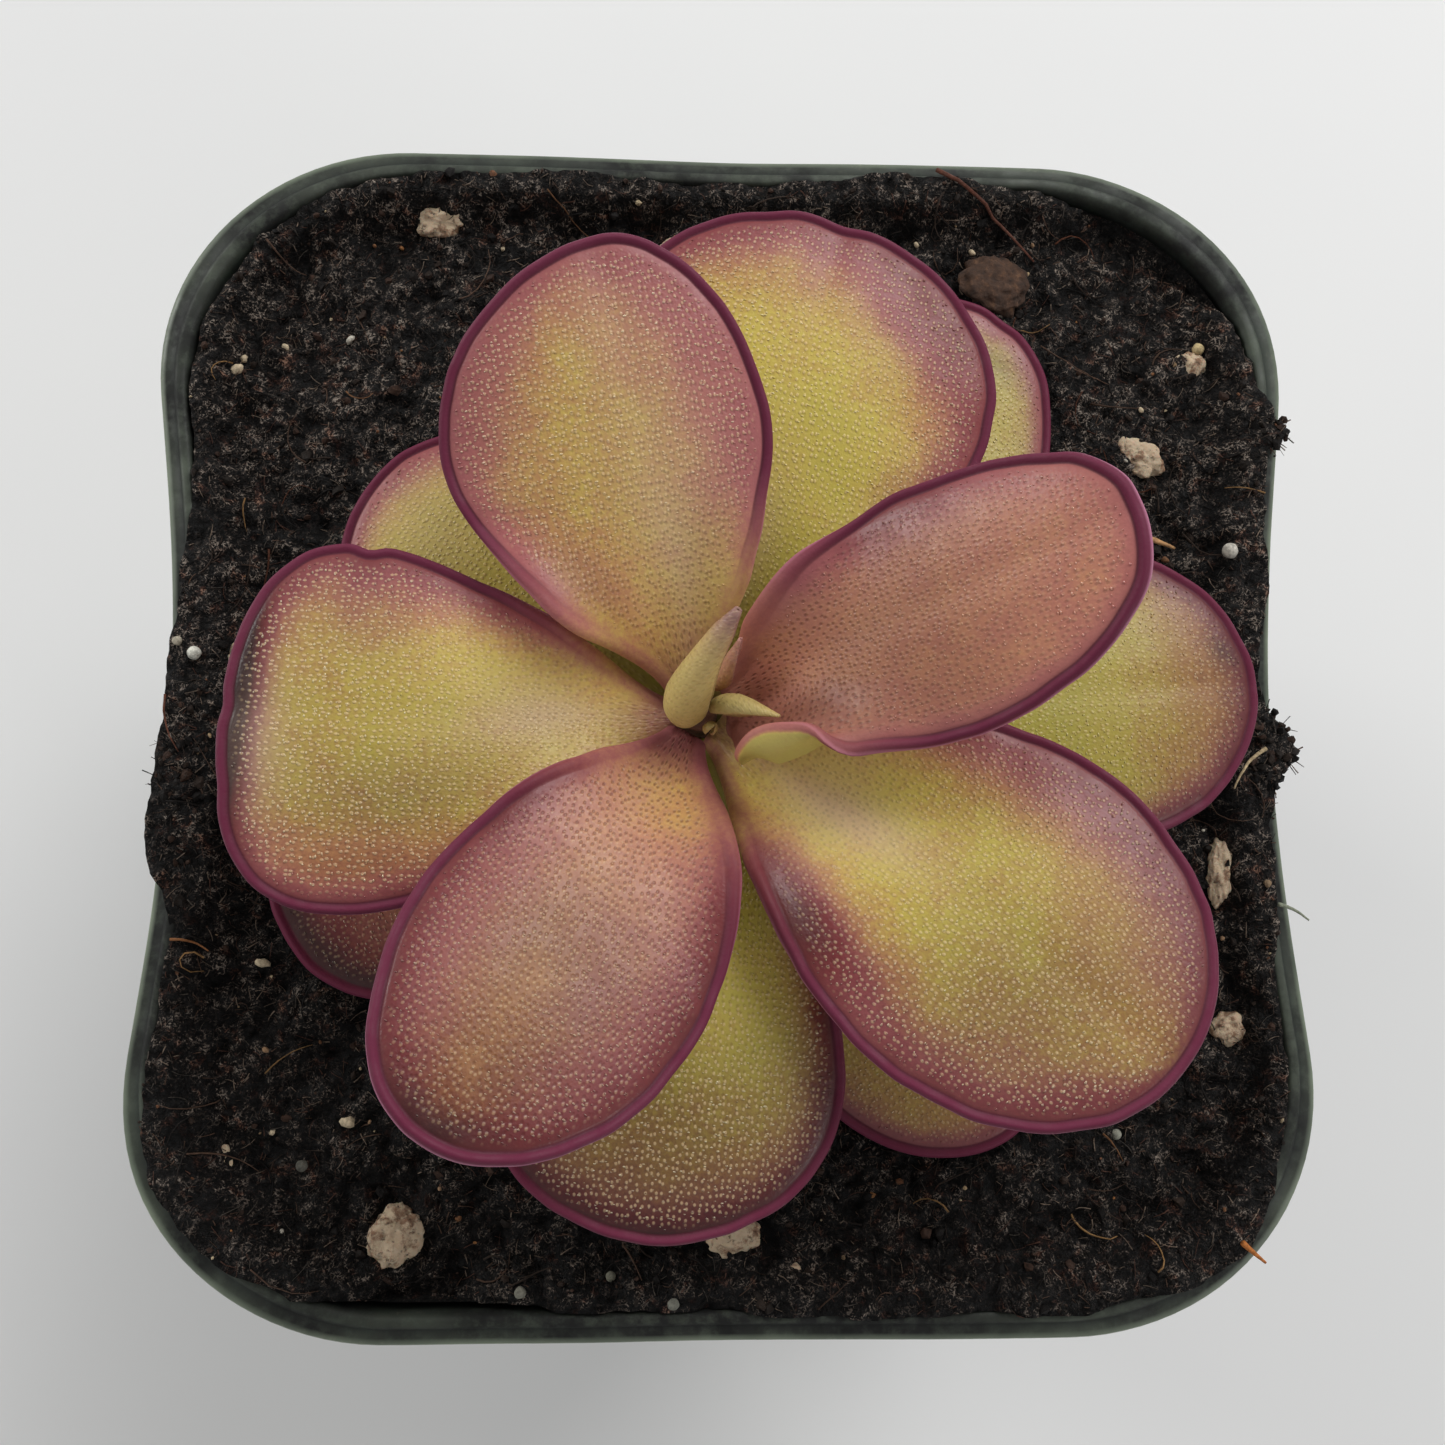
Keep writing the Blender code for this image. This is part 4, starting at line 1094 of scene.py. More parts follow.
def make_pot():
    profile = pot_profile()
    rings, edge, dirt = [], [], []
    for k, (half, height, pale) in enumerate(profile):
        ring = square_ring(half, height)
        up = smoothstep((height - 20.0) / 48.0)
        bend = 0.22 * layered(ring * (1, 1, 0.35), 14.0, 360, 2) * up
        ring[:, :2] *= (1.0 + bend / np.maximum(np.hypot(ring[:, 0], ring[:, 1]), 1.0))[:, None]
        rings.append(ring)
        # Soil dust on the rim top, and painted shade down the inner wall
        rim_top = height > RIM_HEIGHT - 2.0 and half < RIM_HALF - 0.4
        inside = half < RIM_HALF - RIM_WIDE + 0.2 and k >= len(profile) // 2
        dusted_and_shaded = np.clip(0.92 + 0.5 * layered(ring, 5.0, 372, 2), 0.5, 1.0)
        dirt.append(dusted_and_shaded if rim_top or inside else 0.0 * dusted_and_shaded)
        # Pale edge: partly wear, partly painted sheen on the lip
        wear_and_sheen = 0.6 + 0.5 * layered(ring, 3.0, 370, 3)
        edge.append(np.clip(pale * wear_and_sheen * 1.2, 0.0, 1.0))
    values = {"edge": np.concatenate(edge), "dirt": np.concatenate(dirt)}
    pot = mesh_piece("pot_shell", *loft(rings), pot_look(), "pot", values)
    combine(pot, "DIFFERENCE", drain_holes())
    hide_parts("pot")


# The mix

def soil_base(x, y):
    """Relief of the solid's surface: lumps, heaps against the two X walls, a hollow at each corner."""
    lumps = (np.sin(0.61 * x + 1.3) * np.cos(0.53 * y - 0.4) + 0.6 * np.sin(1.13 * x - 0.9 * y + 2.0)
             + 0.5 * np.cos(1.37 * y + 0.8 * x))
    left_heap = 1.5 * np.exp(-((x + 35) / 5) ** 2 - ((y + 2) / 11) ** 2)
    right_heap = 1.3 * np.exp(-((x - 34) / 4) ** 2 - ((y - 6) / 14) ** 2)
    corner = -0.8 * smoothstep((np.hypot(x, y) - 36) / 8)
    under = -0.5 * np.exp(-(np.hypot(x - CROWN_X, y - CROWN_Y) / 22) ** 4)
    return SOIL_LEVEL + SOIL_BUMP * lumps / 2 + left_heap + right_heap + corner + under


def wall_reach(x, y):
    """How near the wall a place is, 1 at the wall."""
    half = inner_half(SOIL_LEVEL) - GAP
    radius = corner_radius(half)
    bow = pinch_at(SOIL_LEVEL) * bowed(y, half)
    px, py = np.abs(x) / (half - bow) * half, np.abs(y)
    cx, cy = np.maximum(px - (half - radius), 0.0), np.maximum(py - (half - radius), 0.0)
    corner = half - radius + np.hypot(cx, cy)
    return np.where((cx > 0) & (cy > 0), corner, np.maximum(px, py)) / half


# Where the mix lies over the rim (positive, millimetres past the inner wall) or leaves a dark gap
# below it (negative): x, y, how far along, how much
BANKS = [
    (-35.0, 0.0, 6.0, 2.2),
    (-35.0, -7.0, 4.5, 2.3),
    (-35.5, 8.0, 4.0, 1.0),
    (-33.0, -31.0, 6.5, 1.1),
    (-36.0, -24.5, 3.0, 0.7),
    (35.0, 8.0, 5.5, 1.3),
    (36.0, 19.5, 2.4, 1.9),
    (35.0, -3.5, 5.0, 1.9),
    (35.5, 14.0, 4.0, 0.7),
    (35.0, -12.0, 5.0, 0.5),
    (31.0, -33.0, 5.5, 1.2),
    (12.0, 36.5, 6.0, 0.9),
    (-12.0, 36.5, 9.0, 0.3),
    (29.5, 32.5, 7.0, -1.6),
    (-18.0, -36.0, 4.5, -1.4),
    (8.0, -36.0, 6.0, 0.5),
    (20.0, -36.0, 6.0, 0.4),
    (-30.0, 30.0, 9.0, -0.3),
]


def bank(x, y):
    """How far the mix reaches past the inner wall."""
    at = np.stack([x, y, 0.0 * x], axis=-1)
    over = 0.45 + 0.5 * layered(at, 3.0, 407, 3, 0.6)
    for bx, by, wide, amount in BANKS:
        over = over + amount * np.exp(-((x - bx) ** 2 + (y - by) ** 2) / wide ** 2)
    return over


def soil_relief(x, y):
    """Clods, crumbs and specks of the surface."""
    at = np.stack([x, y, 0.0 * x], axis=-1)
    shake = np.stack([noise(at, 1.2, 11), noise(at, 1.2, 12), 0.0 * x], axis=-1)
    clods = 0.95 * (0.45 - clumps(at + 0.6 * shake, 2.6, 400))
    crumbs = 0.55 * (0.5 - clumps(at + 0.35 * shake, 1.15, 401))
    specks = 0.34 * (0.5 - clumps(at, 0.58, 404))
    return clods + crumbs + specks + 0.36 * layered(at, 1.3, 402, 3, 0.7)


def soil_height(x, y, relief):
    """The surface, drawn up against the wall in most places."""
    base = soil_base(x, y)
    over = bank(x, y)
    top = RIM_HEIGHT - 0.35 + 0.75 * smoothstep((over + 0.2) / 1.2) - 1.6 * smoothstep(-over / 0.9)
    near = smoothstep((wall_reach(x, y) - 0.925) / 0.065)
    return base + (top - base) * near + relief * (1.0 - 0.35 * near)


class Ground:
    """Heights of the finished surface, worked out once on an even grid."""

    def __init__(self):
        line = np.arange(GROUND_LOW, -GROUND_LOW, GROUND_STEP)
        x, y = np.meshgrid(line, line, indexing="ij")
        self.table = soil_height(x, y, soil_relief(x, y))

    def height(self, x, y):
        last = len(self.table) - 2
        u = np.clip((np.asarray(x, float) - GROUND_LOW) / GROUND_STEP, 0, last)
        v = np.clip((np.asarray(y, float) - GROUND_LOW) / GROUND_STEP, 0, last)
        i, j = np.floor(u).astype(int), np.floor(v).astype(int)
        a, b = u - i, v - j
        t = self.table
        return ((t[i, j] * (1 - a) + t[i + 1, j] * a) * (1 - b)
                + (t[i, j + 1] * (1 - a) + t[i + 1, j + 1] * a) * b)


def outline_point(outline, share):
    """Place at a share of the way round a closed outline."""
    count = len(outline)
    at = (share % 1.0) * count
    low = np.floor(at).astype(int) % count
    part = (at - np.floor(at))[..., None]
    return outline[low] * (1 - part) + outline[(low + 1) % count] * part


def soil_grid():
    """Even cells over the pot's inside, each square ring of them shaped like the pot's outline."""
    u = np.linspace(-1.0, 1.0, 2 * SOIL_CELLS + 1)
    uu, vv = np.meshgrid(u, u, indexing="ij")
    ring = np.maximum(np.abs(uu), np.abs(vv))
    safe = np.maximum(ring, 1e-9)
    a, b = uu / safe, vv / safe
    # share of the way round, from the middle of the +X side, anticlockwise
    near = 1.0 - 1e-9
    share = np.select([a >= near, b >= near, a <= -near], [b / 8.0, 0.25 - a / 8.0, 0.5 - b / 8.0],
                      0.75 + a / 8.0)
    place = outline_point(pot_inside(), share)
    over = np.maximum(bank(place[..., 0], place[..., 1]), 0.0) * smoothstep((ring - 0.9) / 0.1)
    place = place * (ring + over / np.linalg.norm(place, axis=-1))[..., None]
    return place[..., 0], place[..., 1]


def pot_inside():
    """Even places round the pot's inside at the level of the mix, from the middle of the +X side."""
    edge = square_ring(inner_half(SOIL_LEVEL), SOIL_LEVEL, GAP)[:, :2]
    first = int(np.argmin(np.abs(np.arctan2(edge[:, 1], edge[:, 0]))))
    edge = np.roll(edge, -first, axis=0)
    closed = np.vstack([edge, edge[:1]])
    run = np.r_[0.0, np.cumsum(np.hypot(*np.diff(closed, axis=0).T))]
    even = np.linspace(0.0, run[-1], OUTLINE_STEPS + 1)[:-1]
    return np.stack([np.interp(even, run, closed[:, k]) for k in (0, 1)], axis=-1)


def soil_look():
    look = Look("peat_surface", Specular_IOR_Level=0.16)
    threads = 0.0
    for turn in (12, 58, 101, 147):
        line = look.spread(look.streaks(0.36, 0.10, turn), 0.55, 0.66)
        threads = look.math("MAXIMUM", threads, line)
    grain = look.spread(look.noise(0.15, 4.0, 0.8), 0.46, 0.66)
    level = look.add(look.times(threads, 0.75), look.times(grain, 0.4))
    level = look.times(level, look.spread(look.noise(0.7, 4.0, 0.65), 0.4, 0.6, 0.35, 1.15))
    # Specks dimmed by painted light and shade: darker in the hollows, lighter towards +Y
    level = look.times(level, look.value("painted_light"))
    color = look.ramp(level, [(0.0, 3, 3, 3), (0.3, 19, 16, 15), (0.56, 60, 53, 48), (0.8, 104, 94, 86),
                              (1.0, 142, 131, 120)])
    rusty = look.spread(look.noise(1.1, 3.0), 0.56, 0.68, 0.0, 0.6)
    color = look.mix(rusty, color, look.ramp(level, [(0.0, 9, 5, 4), (0.5, 72, 42, 32), (1.0, 136, 88, 62)]))
    rough = look.spread(look.noise(0.5, 4.0), 0.35, 0.65, 0.4, 0.9)
    lumps = look.bump(look.noise(0.3, 3.0, 0.7), 0.25, 1.0)
    return look.set(Base_Color=color, Roughness=rough, Normal=lumps)


def soil_walls(edge):
    """Rings down the pot's inside from the edge of the surface to the floor."""
    levels = [RIM_HEIGHT - 0.7, SOIL_LEVEL - 2.4, COLLAR_BOTTOM + 1.0 + GAP, COLLAR_BOTTOM - 0.2 + GAP,
              40.0, 20.0, FLOOR_TOP + 1.4, FLOOR_TOP + GAP]
    reach = wall_reach(edge[:, 0], edge[:, 1])
    turn = edge[:, :2] / reach[:, None] / inner_half(SOIL_LEVEL)
    for level in levels:
        half = np.full(len(edge), inner_half(max(level, FLOOR_TOP)) - GAP * 0.5)
        if level == levels[0]:
            half *= reach
        if level == levels[-1]:
            half -= 0.9
        x, y = (turn * half[:, None]).T
        x = x + (pinch_at(SOIL_LEVEL) - pinch_at(level)) * bowed(y, half) * x / half
        yield np.c_[x, y, np.full(len(edge), level)]


def make_soil(look):
    x, y = soil_grid()
    relief = soil_relief(x, y)
    top = np.stack([x, y, soil_height(x, y, relief)], axis=-1).reshape(-1, 3)
    index = np.arange(len(top)).reshape(x.shape)
    a, b, c, d = index[:-1, :-1], index[1:, :-1], index[1:, 1:], index[:-1, 1:]
    faces = np.stack([a, b, c, d], axis=-1).reshape(-1, 4).tolist()
    rim = np.concatenate([index[:-1, 0], index[-1, :-1], index[:0:-1, -1], index[0, :0:-1]])
    before, points, total = rim.tolist(), [top], len(top)
    for ring in soil_walls(top[rim]):
        points.append(ring)
        fresh = list(range(total, total + len(ring)))
        faces += [(before[j - 1], before[j], fresh[j], fresh[j - 1]) for j in range(len(ring))]
        before, total = fresh, total + len(ring)
    faces.append(before)
    # Painted light and shade on the mix: darker in its hollows, lighter towards +Y and a little darker again
    # near the +Y wall; the walls below get a middle value
    painted_light = smoothstep((relief + 0.55) / 1.0).ravel()
    far = smoothstep((y.ravel() + 34.0) / 40.0) * (1.0 - 0.25 * smoothstep((y.ravel() - 22.0) / 10.0))
    painted_light = np.r_[(0.4 + 0.75 * painted_light) * (0.78 + 0.2 * far), np.full(total - len(top), 0.5)]
    soil = mesh_piece("peat_mix", np.vstack(points), faces, look, "soil", {"painted_light": painted_light})
    face_outward(soil)
    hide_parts("soil")


# Loose crumbs and fibres on the surface and over the rim

def palette(*colors):
    return [linear(*color) for color in colors]


CRUMB_TINTS = palette((22, 18, 16), (32, 26, 22), (46, 36, 30), (16, 13, 12), (58, 42, 34))
PALE_TINTS = palette((150, 126, 98), (110, 74, 52), (176, 158, 128), (140, 96, 58))
FIBRE_TINTS = palette((30, 25, 22), (56, 45, 38), (84, 64, 52), (20, 17, 16), (80, 54, 44),
                      (74, 68, 62), (124, 108, 94))
STRAW_TINTS = palette((120, 84, 56), (146, 112, 72), (96, 56, 38))
GRIT_TINTS = palette((206, 188, 158), (176, 150, 116), (196, 190, 176), (120, 84, 58), (150, 120, 92))
CRUMB_COUNT = 2600
SHORT_FIBRE_COUNT = 7600
LONG_FIBRE_COUNT = 420
# Under the leaves, this near the stem, only this share of the bits is kept
SHADED_REACH = 19.0
SHADED_SHARE = 0.3


def scatter(rng, count):
    """Places on the mix, fewer under the leaves."""
    x, y = rng.uniform(-RIM_HALF, RIM_HALF, (2, count * 3))
    shaded = np.hypot(x - CROWN_X, y - CROWN_Y) < SHADED_REACH
    fits = wall_reach(x, y) < 1.0 + np.maximum(bank(x, y), 0.0) / RIM_HALF
    fits &= ~shaded | (rng.random(count * 3) < SHADED_SHARE)
    return zip(x[fits][:count], y[fits][:count])


def any_turn(rng):
    """A repeatable random rotation."""
    q = rng.normal(size=4)
    w, x, y, z = q / np.linalg.norm(q)
    return np.array(((1 - 2 * (y * y + z * z), 2 * (x * y - z * w), 2 * (x * z + y * w)),
                     (2 * (x * y + z * w), 1 - 2 * (x * x + z * z), 2 * (y * z - x * w)),
                     (2 * (x * z - y * w), 2 * (y * z + x * w), 1 - 2 * (x * x + y * y))))


def add_crumb(parts, rng, place, size, tint):
    points, faces = ball(2 if size > 0.42 else 1)
    rough = rng.uniform(0.62, 1.25, (len(points), 1))
    shaped = (points * rough * rng.uniform(0.6, 1.3, 3) * size) @ any_turn(rng)
    parts.add(shaped + place, faces, np.array(tint) * rng.uniform(0.7, 1.25))


def pick(rng, tints):
    return tints[rng.integers(len(tints))]


def add_fibre(parts, rng, ground, x, y, length, radius, tint, lift=0.0):
    turn, bend = rng.uniform(0, 2 * math.pi), rng.normal(0, 0.35) * min(length, 2.5)
    steps, sides = (4, 3) if length < 1.7 else (7, 4)
    share = np.linspace(-0.5, 0.5, steps)
    angle = turn + bend * share
    px, py = x + length * share * np.cos(angle), y + length * share * np.sin(angle)
    if (wall_reach(px, py) - np.maximum(bank(px, py), 0.0) / RIM_HALF).max() > 1.0:
        return
    tilt = rng.normal(0, 0.25) * share * min(length, 1.5)
    level = 0.5 * ground.height(px, py) + 0.5 * ground.height(x, y)
    pz = np.maximum(level, ground.height(px, py)) + lift + tilt
    points, faces = thread(np.c_[px, py, pz], radius, sides)
    parts.add(points, faces, np.array(tint) * rng.uniform(0.6, 1.2))


def make_crumbs(ground, look):
    rng = np.random.default_rng(61)
    parts = Parts()
    for x, y in scatter(rng, CRUMB_COUNT):
        size = 0.10 + 0.34 * rng.random() ** 6
        tint = pick(rng, PALE_TINTS if size < 0.3 and rng.random() < 0.035 else CRUMB_TINTS)
        add_crumb(parts, rng, (x, y, ground.height(x, y) + 0.3 * size), size, tint)
    parts.piece("peat_crumbs", look, smooth=False)


def make_fibres(ground, look):
    rng = np.random.default_rng(62)
    parts = Parts()
    for x, y in scatter(rng, SHORT_FIBRE_COUNT):
        length, radius = 0.3 + 0.9 * rng.random() ** 2, rng.uniform(0.028, 0.055)
        add_fibre(parts, rng, ground, x, y, length, radius, pick(rng, FIBRE_TINTS), rng.uniform(0.0, 0.15))
    parts.piece("peat_fibres_short", look)
    parts = Parts()
    for x, y in scatter(rng, LONG_FIBRE_COUNT):
        length, radius = rng.uniform(1.8, 4.6), rng.uniform(0.035, 0.08)
        tint = pick(rng, STRAW_TINTS if rng.random() < 0.1 else FIBRE_TINTS[:4])
        add_fibre(parts, rng, ground, x, y, length, radius, tint, rng.uniform(0.05, 0.25))
    parts.piece("peat_fibres", look)


# Single threads that stand out on the mix: from x, y, to x, y, radius, colour
STRANDS = [
    (-34.3, -13.9, -32.0, -14.6, 0.10, (150, 100, 62)),
    (13.8, 37.2, 20.4, 31.2, 0.16, (92, 56, 44)),
    (34.3, -1.7, 32.1, -4.3, 0.14, (190, 168, 132)),
    (27.8, 12.4, 29.5, 11.8, 0.22, (196, 150, 104)),
    (31.4, -32.2, 32.8, -33.4, 0.2, (188, 116, 60)),
    (34.6, -11.6, 36.6, -12.6, 0.14, (150, 156, 136)),
    (-35.2, 1.2, -34.2, -2.4, 0.08, (104, 64, 48)),
    (30.3, 6.5, 33.2, 2.5, 0.09, (112, 80, 60)),
]
# Clear or white grains of sand: x, y, radius, colour
BEADS = [
    (-33.5, 3.8, 0.42, (210, 208, 196)),
    (-34.6, 4.6, 0.30, (176, 168, 150)),
    (-26.1, -27.6, 0.36, (96, 94, 86)),
    (32.6, 11.3, 0.50, (205, 200, 188)),
    (31.7, 25.7, 0.40, (196, 176, 132)),
    (-12.6, -34.9, 0.36, (130, 128, 116)),
    (-7.2, -34.2, 0.32, (120, 118, 104)),
    (-3.4, -35.6, 0.36, (120, 120, 110)),
    (24.5, -26.0, 0.35, (140, 140, 128)),
]
# Small bits of perlite, sand and bark, scattered over the mix
GRIT_COUNT = 110
GRIT_REACH = 33.0


def make_trifles(ground, look):
    rng = np.random.default_rng(66)
    parts = Parts()
    for x0, y0, x1, y1, radius, color in STRANDS:
        t = np.linspace(0.0, 1.0, 12)
        bow = rng.uniform(-0.12, 0.12) * np.sin(math.pi * t)
        x, y = x0 + (x1 - x0) * t + (y0 - y1) * bow, y0 + (y1 - y0) * t + (x1 - x0) * bow
        z = np.maximum(ground.height(x, y), ground.height(x, y).mean()) + radius + 0.1
        parts.add(*thread(np.c_[x, y, z], radius, 7), linear(*color))
    for x, y, radius, color in BEADS:
        points, faces = ball(3)
        points = points * (1.0 + 0.12 * noise(points * 1.4 + x, 0.9, 480))[:, None] * radius
        parts.add(points + (x, y, ground.height(x, y) + 0.5 * radius), faces, linear(*color))
    for k in range(GRIT_COUNT):
        x, y = rng.uniform(-GRIT_REACH, GRIT_REACH, 2)
        radius = 0.14 + 0.34 * rng.random() ** 3
        points, faces = ball(2)
        points = points * (1.0 + 0.35 * noise(points * 1.2 + 3.0 * k, 0.8, 481))[:, None] * radius
        points = turned(points * (1.0, rng.uniform(0.6, 1.0), 0.8), rng.uniform(0.0, 360.0))
        parts.add(points + (x, y, ground.height(x, y) + 0.3 * radius), faces, pick(rng, GRIT_TINTS))
    parts.piece("strands_and_sand", look)


# Places where the mix lies over the rim: side (-1 left, 1 right), from y, to y, how far past the
# outer edge it reaches at its middle, and its height above the rim
SPILLS = [
    (1, 1.3, -4.6, 1.3, 0.55),
    (-1, 2.5, -9.5, 0.45, 0.4),
    (1, 20.8, 18.2, 0.35, 0.35),
]
SPILL_SIDES = 22
SPILL_SUNK = 0.25
SPILL_CRUMBS = 3


def rim_edge(y):
    """Distance of the rim's outer edge on an X side."""
    return RIM_HALF - PINCH * bowed(y, RIM_HALF)


def strew(parts, rng, x, y, z):
    """A crumb, and often a fibre, on a heap."""
    size = rng.uniform(0.12, 0.42)
    place = np.array((x, y + rng.normal(0, 0.2), z))
    add_crumb(parts, rng, place, size, pick(rng, CRUMB_TINTS))
    if rng.random() < 0.6:
        turn, long = rng.uniform(0, 2 * math.pi), rng.uniform(0.6, 2.0)
        way = np.array((math.cos(turn), math.sin(turn), rng.normal(0.1, 0.35)))
        path = [place + way * long * t for t in (-0.5, -0.15, 0.15, 0.5)]
        points, faces = thread(path, rng.uniform(0.03, 0.07), 3)
        parts.add(points, faces, np.array(pick(rng, FIBRE_TINTS)) * rng.uniform(0.7, 1.2))


def make_spills(look, loose):
    """Low heaps of mix on the rim, with crumbs and fibres on them."""
    rng = np.random.default_rng(64)
    parts, heaps = Parts(), Parts()
    turns = np.linspace(0, 2 * math.pi, SPILL_SIDES, endpoint=False)
    for side, start, end, past, high in SPILLS:
        count = int(abs(end - start) * 7) + 8
        rings = []
        for share in np.arange(count) / (count - 1):
            y = start + (end - start) * share
            swell = max(math.sin(math.pi * share), 0.0) ** 0.45
            outer = rim_edge(y) + past * swell ** 1.5
            inner = rim_edge(y) - RIM_WIDE - 0.9
            middle, half = (outer + inner) / 2, (outer - inner) / 2 * swell
            rise = (high + SPILL_SUNK) * swell
            x, z = middle + half * np.cos(turns), RIM_HEIGHT - SPILL_SUNK + rise * np.sin(turns)
            ring = np.c_[side * x, np.full(SPILL_SIDES, y), z]
            rough = layered(ring + 3.0, 1.4, 450, 3, 0.7)
            ring[:, 0] += 0.55 * swell * rough * np.cos(turns)
            ring[:, 2] += 0.6 * swell * rough * (np.sin(turns) > -0.2)
            ring[:, 1] += 0.25 * swell * noise(ring, 0.8, 455)
            rings.append(ring if side > 0 else ring[::-1])
            for _ in range(SPILL_CRUMBS):
                spot = turns[rng.integers(SPILL_SIDES)]
                if math.sin(spot) >= -0.1:
                    x, z = middle + half * math.cos(spot), RIM_HEIGHT - 0.15 + rise * math.sin(spot)
                    strew(parts, rng, side * x, y, z)
        heaps.add(*loft(rings), CRUMB_TINTS[0])
    heap = mesh_piece("peat_on_rim", np.vstack(heaps.points), heaps.faces, look, "soil",
                      {"painted_light": np.full(heaps.count, 0.8)})
    face_outward(heap)
    parts.piece("peat_crumbs_on_rim", loose, smooth=False)


def crumb_look():
    look = Look("peat_crumbs_and_fibres", Specular_IOR_Level=0.2)
    shade = look.spread(look.noise(0.3, 4.0, 0.7), 0.3, 0.7, 0.6, 1.25)
    color = look.mix(1.0, look.value("tint", "Color"), shade, "MULTIPLY")
    rough = look.spread(look.noise(0.9, 3.0), 0.3, 0.7, 0.5, 0.9)
    lumps = look.bump(look.noise(0.2, 5.0, 0.7), 0.12, 0.8)
    return look.set(Base_Color=color, Roughness=rough, Normal=lumps)


def grain_look():
    look = Look("perlite_grain", Roughness=0.8, Subsurface_Weight=0.15, Subsurface_Scale=0.6 * MM)
    color = look.mix(look.noise(0.7, 3.0), linear(214, 196, 168), linear(176, 148, 120))
    stain = look.spread(look.noise(1.3, 6.0, 0.7), 0.50, 0.62)
    color = look.mix(look.times(stain, 0.8), color, linear(112, 74, 48))
    cracks = look.spread(look.noise(0.45, 5.0, 0.75), 0.30, 0.44, 0.85, 0.0)
    color = look.mix(cracks, color, linear(78, 58, 44))
    pitted = look.bump(look.times(cracks, -1.0), 0.15, 0.8)
    rough = look.bump(look.noise(0.25, 5.0, 0.7), 0.14, 0.8, pitted)
    return look.set(Base_Color=color, Normal=rough)


def bark_look():
    look = Look("bark", Roughness=0.8)
    color = look.ramp(look.noise(0.7, 6.0, 0.7),
                      [(0.3, 39, 26, 18), (0.55, 80, 55, 39), (0.75, 127, 91, 63)])
    return look.set(Base_Color=color, Normal=look.bump(look.noise(0.5, 6.0, 0.75), 0.3, 0.9))


def make_grains():
    pale, brown = grain_look(), bark_look()
    rows = [("perlite_%02d" % (k + 1), row, 70 + k, pale, "perlite") for k, row in enumerate(PERLITE)]
    rows.append(("bark_lump", BARK, 99, brown, "bark"))
    for name, (x, y, *halves, turn), seed, look, slot in rows:
        points, faces = ball(5 if halves[0] > 1.55 else 4)
        at = points * 1.3 + seed
        rough = 1.22 - 0.42 * clumps(points * 0.9 + seed * 3.1, 1.0, 433, 3)
        for strength, size, layer in ((0.16, 0.7, 430), (0.12, 0.32, 431), (0.06, 0.15, 432)):
            rough = rough + strength * noise(at, size, layer)
        shaped = turned(points * rough[:, None] * 0.94 * halves, turn)
        base = float(soil_base(np.array([x]), np.array([y]))[0])
        lift = base + halves[2] * (2 * GRAIN_PROUD - 1) / 2 + 0.15
        made = mesh_piece(name + "_grain", shaped + (x, y, lift), faces, look, slot)
        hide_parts(name)


# Stem and roots

STEM_SIDES = 48
ROOT_RINGS = 18
ROOT_SIDES = 12
STEM_SLIM = 1.25


def stem_look():
    look = Look("stem_brown", Roughness=0.65)
    color = look.ramp(look.noise(0.8, 5.0), [(0.3, 48, 30, 26), (0.6, 92, 58, 44), (0.8, 120, 86, 60)])
    return look.set(Base_Color=color, Normal=look.bump(look.noise(0.4, 5.0), 0.2, 0.8))


def stem_profile():
    """(radius, height) up the stem."""
    lower = [(CROWN_RADIUS * 0.7, CROWN_BOTTOM), (CROWN_RADIUS, CROWN_BOTTOM + 2.0)]
    heights = np.linspace(CROWN_BOTTOM + 3.0, CROWN_TOP - 1.2, 22)
    radii = CROWN_RADIUS - (CROWN_RADIUS - STEM_SLIM) * smoothstep((heights - SOIL_LEVEL) / 2.5)
    upper = [(STEM_SLIM - 0.2, CROWN_TOP - 0.8), (STEM_SLIM - 0.6, CROWN_TOP - 0.6)]
    return lower + list(zip(radii, heights)) + upper


def make_crown():
    """The stem, ringed by old leaf bases, and its roots as one closed piece."""
    turns = np.linspace(0, 2 * math.pi, STEM_SIDES, endpoint=False)
    rings = []
    for radius, height in stem_profile():
        scars = 0.08 * np.sin(3 * turns + height * 2.4) * (height > SOIL_LEVEL)
        level = np.full(STEM_SIDES, height)
        rough = 0.06 * noise(np.c_[np.cos(turns) * 2, np.sin(turns) * 2, level], 0.8, 440)
        wide = radius - 0.12 + scars + rough
        rings.append(np.c_[CROWN_X + wide * np.cos(turns), CROWN_Y + wide * np.sin(turns), level])
    stem = mesh_piece("stem_and_roots", *loft(rings), stem_look(), "stem")
    paths = [fine_path(root_path(index), ROOT_RINGS) for index in range(ROOT_COUNT)]
    combine(stem, "UNION", [thread(path, ROOT_RADIUS, ROOT_SIDES) for path in paths])
    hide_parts("crown")


def root_path(index):
    """A root's centre line: out of the stem, then down through the mix in a slow wave."""
    draw = random.Random(40 + index)
    turn = 2 * math.pi * (index + draw.uniform(-0.2, 0.2)) / ROOT_COUNT
    dive = math.radians(draw.uniform(28, 62))
    bend = draw.uniform(-0.5, 0.5)
    length = ROOT_LENGTH * draw.uniform(0.7, 1.0)
    start = CROWN_BOTTOM + 0.6 + 0.32 * (index % 3)
    path = []
    for step in range(6):
        share = step / 5
        out = length * share
        side = turn + bend * share + 0.12 * math.sin(5 * share + index)
        flat = out * math.cos(dive) + 0.6
        drop = out * math.sin(dive) * (0.55 + 0.45 * share)
        path.append((CROWN_X + flat * math.cos(side), CROWN_Y + flat * math.sin(side), start - drop))
    return path


def fine_path(path, count):
    """The same path in count even steps."""
    path = np.array(path)
    run = np.linspace(0, 1, len(path))
    return np.stack([np.interp(np.linspace(0, 1, count), run, path[:, k]) for k in range(3)], axis=-1)


